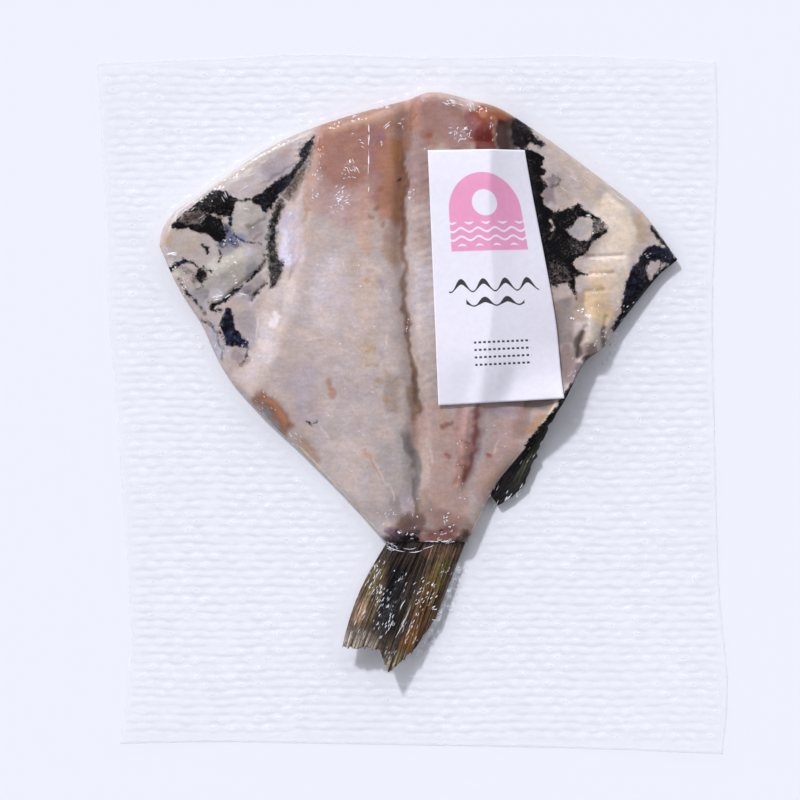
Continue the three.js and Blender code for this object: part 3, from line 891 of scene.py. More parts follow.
LINING = (
    Membrane(
        "left wedge",
        (
            (172.5, 226.4), (176, 222), (185, 214), (199, 203), (210, 194.5), (217, 190.5), (226, 191.5),
            (231.5, 196), (236, 201), (235.5, 207), (234, 215.5), (228.5, 217.5), (222.5, 218.5),
            (225.5, 226.5), (228, 240), (222, 244), (215, 241), (210, 235.5), (199.5, 233.5), (187, 229),
            (179.5, 230.5), (173.5, 229),
        ),
    ),
    Membrane(
        "pink of the wedge",
        ((178, 222), (188, 213), (202, 211), (208, 217), (202, 225), (188, 226)),
        0, 0.6,
    ),
    Membrane("pale streak of the wedge", ((207, 214), (215, 216.5), (222, 217)), 0.9, hole=True),
    Membrane("bridge", ((235, 200.5), (242, 201.5), (251, 200)), 1.6),
    Membrane(
        "veil of the rag",
        (
            (300, 146), (314, 137), (314, 152), (310, 165), (304, 178), (298, 190), (288, 200), (280, 198),
            (290, 186), (300, 170),
        ),
        0, 0.56,
    ),
    Membrane(
        "left rag",
        (
            (249, 200.5), (262, 193), (272, 185.5), (282, 178), (292, 171), (298, 165), (303, 159),
            (296, 157), (301, 154), (303, 149), (308, 144), (313, 138), (315, 136.5), (314, 144), (311, 151),
            (308, 158), (302, 168), (297, 176), (292, 182), (289, 188), (282, 194), (279, 197), (275, 205),
            (267, 213), (263, 213), (259, 206),
        ),
        0, 0.88, 0.12,
    ),
    Membrane(
        "fuzzy band",
        (
            (280, 198), (286, 200), (282, 214), (277, 226), (277, 250), (280, 258), (285, 262), (282, 276),
            (276, 289), (270, 288), (270, 276), (268, 262), (267, 250), (268, 232), (272, 214),
        ),
        0, 0.7,
    ),
    Membrane("strand of the band", ((281, 206), (276, 222)), 3, 0.74),
    Membrane("strand of the band", ((274, 232), (273, 246)), 2.6, 0.76),
    Membrane("strand of the band", ((275, 258), (278, 270)), 3, 0.74),
    Membrane("strand of the band", ((276, 274), (273, 286)), 3, 0.76),
    Membrane("strand by the fold", ((249, 348), (247, 358), (240, 366)), 0.7, 0.7),
    Membrane("navy fleck", ((231, 219), (231.5, 225)), 1.8, 0.95, 0.5),
    Membrane("blue tissue", ((223, 220), (227, 230), (231, 236), (236, 239)), 1.3, 0.7, 1.0),
    Membrane("blue tissue", ((233, 233), (238, 239), (244, 242)), 1.1, 0.9, 0.9),
    # Painted sheen: bright blue tissue where the lining glows
    Membrane("tissue with painted blue sheen", ((221, 246), (228, 243), (238, 244)), 2.6, 0.62, 1.6),
    Membrane("thin line", ((244, 242.5), (253, 243), (262.5, 244)), 0.6, 0.9),
    Membrane("small mark", ((204, 247), (208, 249), (209, 253)), 1.8, 0.85),
    Membrane("small curl", ((220.5, 250.5), (221.5, 258), (218, 264)), 0.8),
    Membrane("navy curl", ((172, 270), (178, 265), (186, 262)), 2.6, 0.92, 0.45),
    Membrane("curl", ((186, 261), (195, 264), (203, 270), (213, 272)), 1.0, 0.9),
    Membrane("mottle in the curl", ((184, 270), (194, 274), (196, 282)), 2.8, 0.45),
    Membrane(
        "dark clump",
        ((196, 277), (200, 270), (205, 267), (208, 273), (207.5, 280), (203, 284), (197, 281)),
        0, 0.8,
    ),
    Membrane("tail of the clump", ((203, 284), (199, 291), (203, 286)), 0.7, 0.8),
    Membrane("rim line", ((180, 280), (185, 288), (189, 295), (196, 301), (206, 314)), 0.8, 0.8),
    Membrane("chain", ((265, 254), (265, 262), (261, 268)), 0.9, 0.7),
    Membrane("fold line", ((260, 269), (254, 276), (246, 283), (238, 289)), 1.2, 0.9),
    Membrane("fold lip", ((238, 289), (231, 296), (222, 302), (213, 307)), 2.4, 0.82),
    Membrane("fold lip end", ((212, 304), (214, 311), (222, 310)), 1.8, 0.8),
    Membrane("second line", ((267, 283.5), (261, 287), (256.5, 294), (253, 299)), 1.3, 0.7),
    Membrane("faint line", ((250, 292), (243, 294)), 0.7, 0.5),
    Membrane(
        "blue black band",
        (
            (226, 309), (223, 318), (220, 327), (225, 337), (226.5, 345), (232, 347), (240, 347), (248, 349),
            (249, 343), (242, 335), (236, 326), (233.5, 315), (231, 308),
        ),
        0, 0.92, 0.55,
    ),
    Membrane("skin's border", ((202, 320), (212, 326), (220, 331), (226, 342)), 0.8, 0.8),
    Membrane("dash", ((308, 422), (312, 424), (317, 421)), 0.9),
    Membrane("dot", ((260, 338),), 0.8),
    Membrane(
        "knot",
        (
            (514, 119), (518, 117), (524, 122), (530, 128), (534, 137), (545, 145), (538, 149), (530, 143),
            (526, 150), (514, 149), (511, 138), (510, 127),
        ),
        0, 0.84,
    ),
    Membrane(
        "band along the label",
        (
            (518, 146), (527, 150), (537, 153), (544, 160), (540, 168), (546, 172), (541, 178), (547, 188),
            (541, 196), (544, 206), (552, 212.5), (564, 210), (573, 208), (577, 203.5), (583, 211),
            (591, 215), (599, 219), (606, 228), (605, 234), (599, 238), (590, 246), (585, 255), (577, 258),
            (572, 263), (576, 271), (587, 275), (574, 278), (575, 288), (576, 301), (571, 292), (566, 282),
            (556, 286), (545, 290), (530, 220), (522, 160),
        ),
        0, 0.95,
    ),
    Membrane(
        "pale island",
        (
            (566, 231), (573, 225), (579, 218), (590, 218), (592, 226),
            (591, 235), (586, 242), (578, 241), (571, 237),
        ),
        hole=True,
    ),
    Membrane("pale slit", ((550, 222), (553, 228), (551, 231)), 1.1, hole=True),
    Membrane("violet patch", ((592, 219), (599, 221), (605, 228), (602, 234), (593, 235)), 0, 0.7, 0.5),
    Membrane("brown of the ring", ((566, 240), (580, 243), (588, 243), (584, 253), (570, 256)), 0, 0.78),
    Membrane("mottled foot", ((548, 262), (566, 268), (572, 280), (556, 288), (548, 288)), 0, 0.74),
    Membrane("fleck of the flap", ((552, 176), (558, 183), (553, 188)), 1.2, 0.5),
    Membrane("tip line", ((650, 228), (656, 235), (662, 242), (668, 249)), 2.2, 0.86),
    Membrane(
        "right tip",
        (
            (647, 246), (655, 244), (662, 248), (665, 247), (674, 254.5), (675, 261), (671, 266),
            (664, 263.5), (661, 266), (655, 278), (649, 283), (641.5, 297), (636, 306), (628, 315),
            (614.5, 327), (613.5, 322.5), (620, 314), (621, 301), (624, 286), (628, 273), (636, 262),
            (641, 254),
        ),
        0, 0.9, 0.25,
    ),
    Membrane(
        "edge of the tip",
        ((676, 260), (668, 267), (660, 273), (646, 288), (630, 308), (614, 329)),
        3, 0.9, 0.1,
    ),
    Membrane(
        "pale island of the tip",
        ((646, 267), (650, 262), (658, 261), (658.5, 266), (655, 274.5), (650, 280), (646, 275)),
        hole=True,
    ),
    Membrane(
        "skin left of the root",
        ((382, 543), (388, 534), (396, 529), (402, 532), (400, 538), (405, 544)),
        0, 0.5,
    ),
    Membrane("bulge of the root", ((403, 538), (409, 535), (416, 538)), 4, 0.74),
    Membrane("skin right of the root", ((450, 544), (456, 535), (465, 529), (470, 535), (466, 544)), 0, 0.5),
    Membrane(
        "black edge",
        ((572, 386), (564, 398), (556, 410), (546, 422), (536, 434), (527, 445)),
        3.2, 0.96,
    ),
)
FLESH_FOLDS = tuple(Fold(*row) for row in (
    ("line on the fillet", ((369, 128), (369, 160), (369, 196)), 2.4, 0.3),
    ("round lump", ((247, 210), (250, 224)), 9, 1.0),
    ("pillow", ((222, 272), (248, 258)), 10, 1.2),
    ("crease under the pillow", ((264, 268), (248, 280), (233, 292), (213, 309)), 2.4, -0.9),
    ("second crease", ((265, 284), (257, 294), (252, 301)), 2.2, -0.6),
    ("wedge ridge", ((178, 226), (200, 212), (228, 204)), 6, 0.7),
    ("seam", ((319, 130), (307, 180), (305, 215), (303, 256), (286, 290), (281, 326)), 3, -0.5),
    ("edge of the pale tissue", ((292, 195), (292, 250), (288, 288)), 2.4, 0.45),
    ("band ridge", ((227, 314), (226, 328), (236, 342)), 5, 0.6),
    ("crease of the right flap", ((586, 258), (605, 257), (622, 256)), 2, -0.7),
    ("crease of the right flap", ((590, 275), (612, 274)), 2, -0.6),
    ("crease of the right flap", ((584, 292), (602, 291)), 2, -0.5),
    ("ring", ((577, 206), (596, 219), (603, 229), (592, 243), (582, 254)), 4, 0.6),
    ("finger of the stub", ((593, 306), (591, 330), (590, 348)), 8, 1.5),
    ("left of the stub", ((584, 328), (579, 344), (578, 358)), 2.4, -1.3),
    ("right of the stub", ((605, 318), (602, 334), (601, 350)), 2.2, -1.0),
    ("under the stub", ((583, 362), (592, 359), (599, 355)), 2.4, -1.0),
    ("blood ridge", ((467, 412), (465, 432)), 3.6, 0.8),
    ("blood ridge", ((464, 440), (463, 455)), 3.2, 0.8),
    ("blood ridge", ((462, 464), (460, 484)), 3, 0.6),
    ("bulge of the root", ((404, 536), (414, 536)), 5, 1.0),
    ("root wrinkle", ((398, 530), (414, 534), (430, 529)), 1.6, -0.5),
    ("root wrinkle", ((432, 533), (448, 529), (464, 533)), 1.6, -0.5),
))


def paint(ground: Colour | Array, strokes: Sequence[Stroke], x: Array, y: Array, fade: float = FADE) -> Array:
    """Lay strokes of colour over a ground, one after another.

    Args:
        ground: colour as seen where no stroke reaches, or surface colours that are there.
        strokes: the strokes in order.
        x: pixels to the right.
        y: pixels down.
        fade: share of a slender stroke over which it fades at each end.

    Returns:
        Surface colours with alpha, one row for each point.
    """
    colours = np.tile(albedo(ground), (x.size, 1)) if len(ground) == 3 else ground[:, :3].copy()
    for stroke in strokes:
        reach = stroke.width + stroke.soft
        corners = np.array(stroke.path)
        (x_low, y_low), (x_high, y_high) = corners.min(0) - reach, corners.max(0) + reach
        near = (x > x_low) & (x < x_high) & (y > y_low) & (y < y_high)
        distance = distance_to_path(x[near], y[near], stroke.path)
        weight = stroke.strength * (1 - ease(distance, stroke.width, reach))
        if np.linalg.norm(np.diff(corners, axis=0), axis=1).sum() > SLENDER * reach:
            weight *= fade_along(x[near], y[near], stroke.path, fade)
        colours[near] += weight[:, None] * (albedo(stroke.colour) - colours[near])
    return np.hstack([colours, np.ones((x.size, 1))])


def lay_lining(x: Array, y: Array) -> tuple[Array, Array, Array]:
    """Spread the dark lining over the flesh.

    Args:
        x: pixels to the right.
        y: pixels down.

    Returns:
        Distance to the lining in pixels, negative inside, its density and its blue.
    """
    distance, density, blue = np.full(x.shape, FAR), np.ones(x.shape), np.zeros(x.shape)
    for rag in LINING:
        if rag.strand:
            own = distance_to_path(x, y, rag.outline) - rag.strand
        else:
            own = distance_to_path(x, y, (*rag.outline, rag.outline[0]))
            own = np.where(is_inside(x, y, rag.outline), -own, own)
        if rag.hole:
            distance = np.maximum(distance, -own)
            continue
        chosen = (own < 0) | (own < distance)
        density = np.where(chosen, rag.density, density)
        blue = np.where(chosen, rag.blue, blue)
        distance = np.minimum(distance, own)
    return distance, density, blue


def folds_at(folds: Sequence[Fold], x: Array, y: Array) -> Array:
    """Add up the heights of some folds.

    Args:
        folds: the folds.
        x: pixels to the right.
        y: pixels down.

    Returns:
        The height at each point in millimetres.
    """
    total = np.zeros(x.shape)
    for fold in folds:
        total += fold.height * np.exp(-((distance_to_path(x, y, fold.path) / fold.width) ** 2))
    return total


# Node tools

class Nodes:
    """A short way to add and join nodes in a tree."""

    def __init__(self, tree: Tree) -> None:
        """Keep the tree."""
        self.tree = tree

    def feed(self, node: bpy.types.Node, inputs: dict) -> None:
        """Give a node what goes into it.

        Args:
            node: the node.
            inputs: a value or a socket for each input, by name or number.
        """
        for key, value in inputs.items():
            if isinstance(value, Socket):
                self.tree.links.new(value, node.inputs[key])
            else:
                node.inputs[key].default_value = value

    def add(self, kind: str, inputs: dict | None = None, **settings: Value) -> bpy.types.Node:
        """Add a node.

        Args:
            kind: its type.
            inputs: a value or a socket for each input, by name or number.
            settings: its own properties.

        Returns:
            The node.
        """
        node = self.tree.nodes.new(kind)
        for name, value in settings.items():
            setattr(node, name, value)
        self.feed(node, inputs or {})
        return node

    def math(self, operation: str, *values: Value) -> Socket:
        """Add a math node and give its result."""
        return self.add("ShaderNodeMath", dict(enumerate(values)), operation=operation).outputs[0]

    def plus(self, first: Value, second: Value) -> Socket:
        """Add two numbers."""
        return self.math("ADD", first, second)

    def minus(self, first: Value, second: Value) -> Socket:
        """Take the second number from the first."""
        return self.math("SUBTRACT", first, second)

    def times(self, first: Value, second: Value) -> Socket:
        """Multiply two numbers."""
        return self.math("MULTIPLY", first, second)

    def mix(self, share: Value, first: Value, second: Value, kind: str = "MIX") -> Socket:
        """Mix two colours and give the result."""
        inputs = {0: share, 6: first, 7: second}
        return self.add("ShaderNodeMix", inputs, data_type="RGBA", blend_type=kind).outputs[2]

    def tone(self, colour: Value, level: Value) -> Socket:
        """Multiply a colour by a level or by another colour."""
        return self.mix(1.0, colour, level, "MULTIPLY")

    def ramp(self, value: Value, low: Value, high: Value, start: Value = 0.0, end: Value = 1.0) -> Socket:
        """Ease a value over a range to another range and give the result."""
        inputs = {"Value": value, "From Min": low, "From Max": high, "To Min": start, "To Max": end}
        return self.add("ShaderNodeMapRange", inputs, interpolation_type="SMOOTHSTEP").outputs[0]

    def noise(self, place: Value, scale: Value, detail: float = 4.0) -> Socket:
        """Add noise and give its value."""
        return self.add("ShaderNodeTexNoise", {"Vector": place, "Scale": scale, "Detail": detail}).outputs[0]

    def patches(self, place: Value, scale: Value, detail: float, *ranges: Value) -> Socket:
        """Add noise that is eased over a range to another range, as ramp does it."""
        return self.ramp(self.noise(place, scale, detail), *ranges)

    def swing(self, place: Value, scale: float, detail: float, size: float) -> Socket:
        """Add noise to both sides of zero, of a size."""
        return self.times(self.minus(self.noise(place, scale, detail), 0.5), size)

    def stretch(self, place: Value, factors: tuple) -> Socket:
        """Multiply a place by a factor along each axis."""
        return self.add("ShaderNodeVectorMath", {0: place, 1: factors}, operation="MULTIPLY").outputs[0]

    def split(self, place: Value) -> Sequence[Socket]:
        """Give the three coordinates of a place."""
        return self.add("ShaderNodeSeparateXYZ", {0: place}).outputs

    def stored(self, name: str, kind: str = "Fac") -> Socket:
        """Read a stored number of the piece, or its stored Color or Vector, in a material."""
        return self.add("ShaderNodeAttribute", attribute_name=name).outputs[kind]

    def marked(self, name: str) -> Socket:
        """Read a stored number of the piece in a geometry tree."""
        return self.add("GeometryNodeInputNamedAttribute", {"Name": name}, data_type="FLOAT").outputs[0]

    def places(self) -> Socket:
        """Give the place on the piece in metres."""
        return self.add("ShaderNodeTexCoord").outputs["Object"]

    def group(self, tree: Tree, inputs: dict) -> Socket:
        """Add a shared group and give its first result."""
        return self.add("ShaderNodeGroup", inputs, node_tree=tree).outputs[0]

    def bump(
        self, shader: bpy.types.Node, height: Value, strength: float, distance: float, **settings: Value
    ) -> None:
        """Give a shader fine relief.

        Args:
            shader: the material's shader.
            height: height from 0 to 1.
            strength: how much of it shows.
            distance: metres that a height of 1 stands for.
            settings: other properties of the bump node.
        """
        inputs = {"Strength": strength, "Distance": distance, "Height": height}
        self.feed(shader, {"Normal": self.add("ShaderNodeBump", inputs, **settings).outputs[0]})


def shared_group(
    name: str, inputs: Sequence[str], output: str, build: Callable[[Nodes, Sequence], Socket]
) -> Tree:
    """Make a shader group with number inputs and one number output.

    Args:
        name: its name.
        inputs: names of its inputs.
        output: name of its output.
        build: makes its nodes from the input sockets and gives the result.

    Returns:
        The group.
    """
    tree = bpy.data.node_groups.new(name, "ShaderNodeTree")
    for label in inputs:
        tree.interface.new_socket(label, in_out="INPUT", socket_type="NodeSocketFloat")
    tree.interface.new_socket(output, in_out="OUTPUT", socket_type="NodeSocketFloat")
    nodes = Nodes(tree)
    given = nodes.add("NodeGroupInput")
    nodes.add("NodeGroupOutput", {0: build(nodes, given.outputs)})
    return tree


# Noise of the shared groups: how fine it is, and where it starts and ends
MOTTLE_DETAIL = 5.0
MOTTLE_RANGE = (0.32, 0.68)
TEARS = ((520.0, 4.0, 11.0), (2200.0, 3.0, 8.0))
MOIST_DETAIL = 5.0
MOIST_COARSE = 0.3


def mottle_group() -> Tree:
    """Make the group for uneven tone: noise of a scale, between two levels."""
    def build(nodes: Nodes, given: Sequence) -> Socket:
        """Make its nodes."""
        return nodes.patches(nodes.places(), given[0], MOTTLE_DETAIL, *MOTTLE_RANGE, given[1], given[2])
    return shared_group("Mottle", ("Scale", "Low", "High"), "Level", build)


def ragged_group() -> Tree:
    """Make the group for a torn edge: a mask from a distance in pixels, which noise frays."""
    def build(nodes: Nodes, given: Sequence) -> Socket:
        """Make its nodes."""
        place = nodes.places()
        torn = nodes.plus(*(nodes.swing(place, *tear) for tear in TEARS))
        frayed = nodes.plus(given[0], nodes.times(torn, given[1]))
        return nodes.ramp(frayed, given[2], nodes.times(given[2], -1.0))
    return shared_group("Ragged mask", ("Distance", "Fray", "Soft"), "Mask", build)


def moist_group() -> Tree:
    """Make the group for the fine relief of moist tissue, as a height from 0 to 1."""
    def build(nodes: Nodes, given: Sequence) -> Socket:
        """Make its nodes."""
        place = nodes.places()
        coarse = nodes.noise(place, nodes.times(given[0], MOIST_COARSE))
        return nodes.plus(nodes.noise(place, given[0], MOIST_DETAIL), coarse)
    return shared_group("Moist relief", ("Scale",), "Height", build)


@dataclass
class SharedGroups:
    """Shader groups that several finishes use."""

    mottle: Tree
    ragged: Tree
    moist: Tree

    def mottled(self, nodes: Nodes, scale: float, low: float, high: float) -> Socket:
        """Add uneven tone between two levels to a material."""
        return nodes.group(self.mottle, {"Scale": scale, "Low": low, "High": high})


def new_material(name: str) -> tuple[Material, Nodes, bpy.types.Node]:
    """Make a material and give it with its node helper and its shader."""
    material = bpy.data.materials.new(name)
    material.use_nodes = True
    return material, Nodes(material.node_tree), material.node_tree.nodes["Principled BSDF"]


# Embossing of the film: ribs across the pouch, broken into staggered cells, in metres
RIB_PITCH = 0.0034
RIB_WAVER = 0.0045
RIB_SHARE = 0.8
CELL_PITCH = 0.0072
CELL_SHARE = 0.5
DRIFT_SCALE = 16.0
TREMBLE_SCALE = 150.0
TREMBLE_SHARE = 0.5
RIB_STRETCH = (95.0, 250.0, 1.0)
RIB_STRENGTH = (1.0, 2.0, 0.3, 0.7, 0.1, 1.5)


def rib_wave(nodes: Nodes, place: Socket, pitch: float | Socket, waver: float | Socket) -> Socket:
    """Make the wave of the film's ribs and cells, from -0.84 in a trough to 1.3 on the crest of a cell.

    Args:
        nodes: helper of a material or of a geometry tree.
        place: the point.
        pitch: metres from rib to rib.
        waver: metres by which a rib wanders.

    Returns:
        The wave.
    """
    x, y, _ = nodes.split(place)
    drift = nodes.swing(place, DRIFT_SCALE, 1.0, 1.0)
    tremble = nodes.swing(place, TREMBLE_SCALE, 1.0, TREMBLE_SHARE)
    wander = nodes.times(nodes.plus(drift, tremble), waver)
    turns = nodes.math("DIVIDE", nodes.plus(y, wander), pitch)
    ribs = nodes.math("COSINE", nodes.times(turns, 2 * np.pi))
    across = nodes.math("COSINE", nodes.times(nodes.plus(x, wander), 2 * np.pi / CELL_PITCH))
    cells = nodes.times(across, nodes.math("COSINE", nodes.times(turns, np.pi)))
    return nodes.plus(nodes.times(ribs, RIB_SHARE), nodes.times(cells, CELL_SHARE))


# Finishes: three values of noise are its scale, low and high, and more are what Nodes.patches takes

@dataclass(frozen=True)
class FleshFinish:
    """Half-dried flesh with the dark lining of the belly on it."""

    tones: tuple = ((170.0, 0.94, 1.06), (700.0, 0.95, 1.045), (2100.0, 0.94, 1.06))
    fibre_stretch: tuple = (230.0, 660.0, 200.0)
    fibre_patches: tuple = (1.0, 3.0, 0.3, 0.7, 0.95, 1.045)
    cold: tuple = (0.985, 1.0, 1.05, 1.0)
    warm: tuple = (1.03, 0.985, 0.94, 1.0)
    warmth: tuple = (150.0, 0.0, 1.0)
    rib_noise: Point = (160.0, 2.0)
    rib_waver: float = 0.006
    rib_tone: Point = (0.92, 1.04)
    rib_patches: tuple = (260.0, 0.1, 1.0)
    lining: Colour = (7, 6, 8)
    lining_thin: Colour = (78, 69, 68)
    blue_deep: Colour = (36, 46, 86)
    # Lighter blue of the painted sheen
    blue_sheen: Colour = (98, 114, 158)
    densities: Point = (0.4, 1.0)
    fray: Point = (1.3, 0.6)
    soft: Point = (3.2, 1.0)
    weave_noises: tuple = ((1700.0, 6.0), (480.0, 3.0))
    weave: float = 0.6
    weave_range: Point = (0.1, 0.85)
    thin_patches: tuple = ((1100.0, 5.0, 0.46, 0.72), (240.0, 3.0, 0.42, 0.66))
    sheen_patches: tuple = (560.0, 4.0, 0.45, 0.75)
    blue_patches: tuple = (420.0, 3.0, 0.4, 0.62)
    roughness: Point = (0.5, 0.65)
    specular: float = 0.08
    bleed: float = 0.12
    bleed_radius: tuple = (1.0, 0.6, 0.5)
    bleed_depth: float = 0.002
    moist_scale: float = 1500.0
    relief: Point = (0.2, 0.0003)

    def build(self, groups: SharedGroups) -> Material:
        """Build the material.

        Args:
            groups: the shared shader groups.

        Returns:
            The material.
        """
        material, nodes, shader = new_material("flesh")
        place = nodes.places()
        flesh = self.flesh(nodes, place, groups)
        mask, dark = self.belly_lining(nodes, place, groups)
        nodes.feed(shader, {
            "Base Color": nodes.mix(mask, flesh, dark),
            "Roughness": nodes.ramp(mask, 0.0, 1.0, *self.roughness),
            "Specular IOR Level": self.specular,
            "Subsurface Weight": self.bleed,
            "Subsurface Radius": self.bleed_radius,
            "Subsurface Scale": self.bleed_depth,
        })
        nodes.bump(shader, nodes.group(groups.moist, {"Scale": self.moist_scale}), *self.relief)
        return material

    def flesh(self, nodes: Nodes, place: Socket, groups: SharedGroups) -> Socket:
        """Make the colour of the flesh: its tint, made uneven, drawn into fibres and ribbed.

        Args:
            nodes: the material's nodes.
            place: the point.
            groups: the shared shader groups.

        Returns:
            The colour.
        """
        colour = nodes.stored("tint", "Color")
        for tone in self.tones:
            colour = nodes.tone(colour, groups.mottled(nodes, *tone))
        drawn = nodes.stretch(place, self.fibre_stretch)
        colour = nodes.tone(colour, nodes.patches(drawn, *self.fibre_patches))
        cast = nodes.mix(groups.mottled(nodes, *self.warmth), self.cold, self.warm)
        colour = nodes.tone(colour, cast)
        x, y, _ = nodes.split(place)
        wander = nodes.times(nodes.noise(place, *self.rib_noise), self.rib_waver)
        along = nodes.plus(nodes.plus(y, nodes.times(x, -MUSCLE_SLANT)), wander)
        wave = nodes.math("SINE", nodes.times(along, 2 * np.pi / (MUSCLE_PITCH * MM)))
        ribs = nodes.ramp(wave, -1.0, 1.0, *self.rib_tone)
        grain = nodes.times(nodes.stored("grain"), groups.mottled(nodes, *self.rib_patches))
        return nodes.mix(grain, colour, nodes.tone(colour, ribs))

    def belly_lining(self, nodes: Nodes, place: Socket, groups: SharedGroups) -> tuple[Socket, Socket]:
        """Make the torn lining: closed where it is dense, threadbare elsewhere, and navy blue with lighter
        patches of painted sheen.

        Args:
            nodes: the material's nodes.
            place: the point.
            groups: the shared shader groups.

        Returns:
            Its mask and its colour.
        """
        density = nodes.stored("lining_density")
        inside = nodes.group(groups.ragged, {
            "Distance": nodes.stored("lining"),
            "Fray": nodes.ramp(density, *self.densities, *self.fray),
            "Soft": nodes.ramp(density, *self.densities, *self.soft),
        })
        weave = nodes.plus(*(nodes.noise(place, *noise) for noise in self.weave_noises))
        weave = nodes.times(nodes.minus(weave, 1.0), self.weave)
        closed = nodes.ramp(nodes.plus(density, weave), *self.weave_range)
        thin = nodes.times(*(nodes.patches(place, *patches) for patches in self.thin_patches))
        dark = nodes.mix(thin, rgba(self.lining), rgba(self.lining_thin))
        # Painted sheen: lighter blue patches over the navy
        light = nodes.patches(place, *self.sheen_patches)
        shimmer = nodes.mix(light, rgba(self.blue_deep), rgba(self.blue_sheen))
        blue = nodes.times(nodes.stored("lining_blue"), nodes.patches(place, *self.blue_patches))
        return nodes.times(inside, closed), nodes.mix(blue, dark, shimmer)


@dataclass(frozen=True)
class SkinFinish:
    """Dark mottled skin with small scales."""

    dark: Colour = (38, 34, 32)
    olive: Colour = (92, 80, 66)
    pale: Colour = (134, 124, 112)
    clouds: tuple = (70.0, 0.0, 1.0)
    scale_size: float = 0.0028
    scale_rims: tuple = (0.25, 0.6, 0.0, 0.5)
    relief: Point = (0.6, 0.0005)
    roughness: float = 0.35

    def build(self, groups: SharedGroups) -> Material:
        """Build the material.

        Args:
            groups: the shared shader groups.

        Returns:
            The material.
        """
        material, nodes, shader = new_material("skin")
        colour = nodes.mix(groups.mottled(nodes, *self.clouds), rgba(self.dark), rgba(self.olive))
        scales = nodes.add("ShaderNodeTexVoronoi", {"Vector": nodes.places(), "Scale": 1 / self.scale_size})
        rims = scales.outputs["Distance"]
        colour = nodes.mix(nodes.ramp(rims, *self.scale_rims), colour, rgba(self.pale))
        nodes.feed(shader, {"Base Color": colour, "Roughness": self.roughness})
        nodes.bump(shader, rims, *self.relief, invert=True)
        return material


@dataclass(frozen=True)
class FinFinish:
    """Thin dark fin skin, streaked along its rays."""

    name: str
    streaks: float
    streak_length: float = 2.4
    streak_patches: tuple = (1.0, 5.0, 0.34, 0.66, 0.08, 2.1)
    relief: Point = (0.5, 0.0004)
    specks: tuple = (900.0, 0.75, 1.2)
    roughness: float = 0.34
    specular: float = 0.15

    def build(self, groups: SharedGroups) -> Material:
        """Build the material.

        Args:
            groups: the shared shader groups.

        Returns:
            The material.
        """
        material, nodes, shader = new_material(self.name)
        fan = nodes.stretch(nodes.stored("fan", "Vector"), (self.streaks, self.streak_length, 1.0))
        streak = nodes.patches(fan, *self.streak_patches)
        colour = nodes.tone(nodes.stored("tint", "Color"), streak)
        colour = nodes.tone(colour, groups.mottled(nodes, *self.specks))
        nodes.feed(shader, {
            "Base Color": colour, "Roughness": self.roughness, "Specular IOR Level": self.specular,
        })
        nodes.bump(shader, streak, *self.relief)
        return material


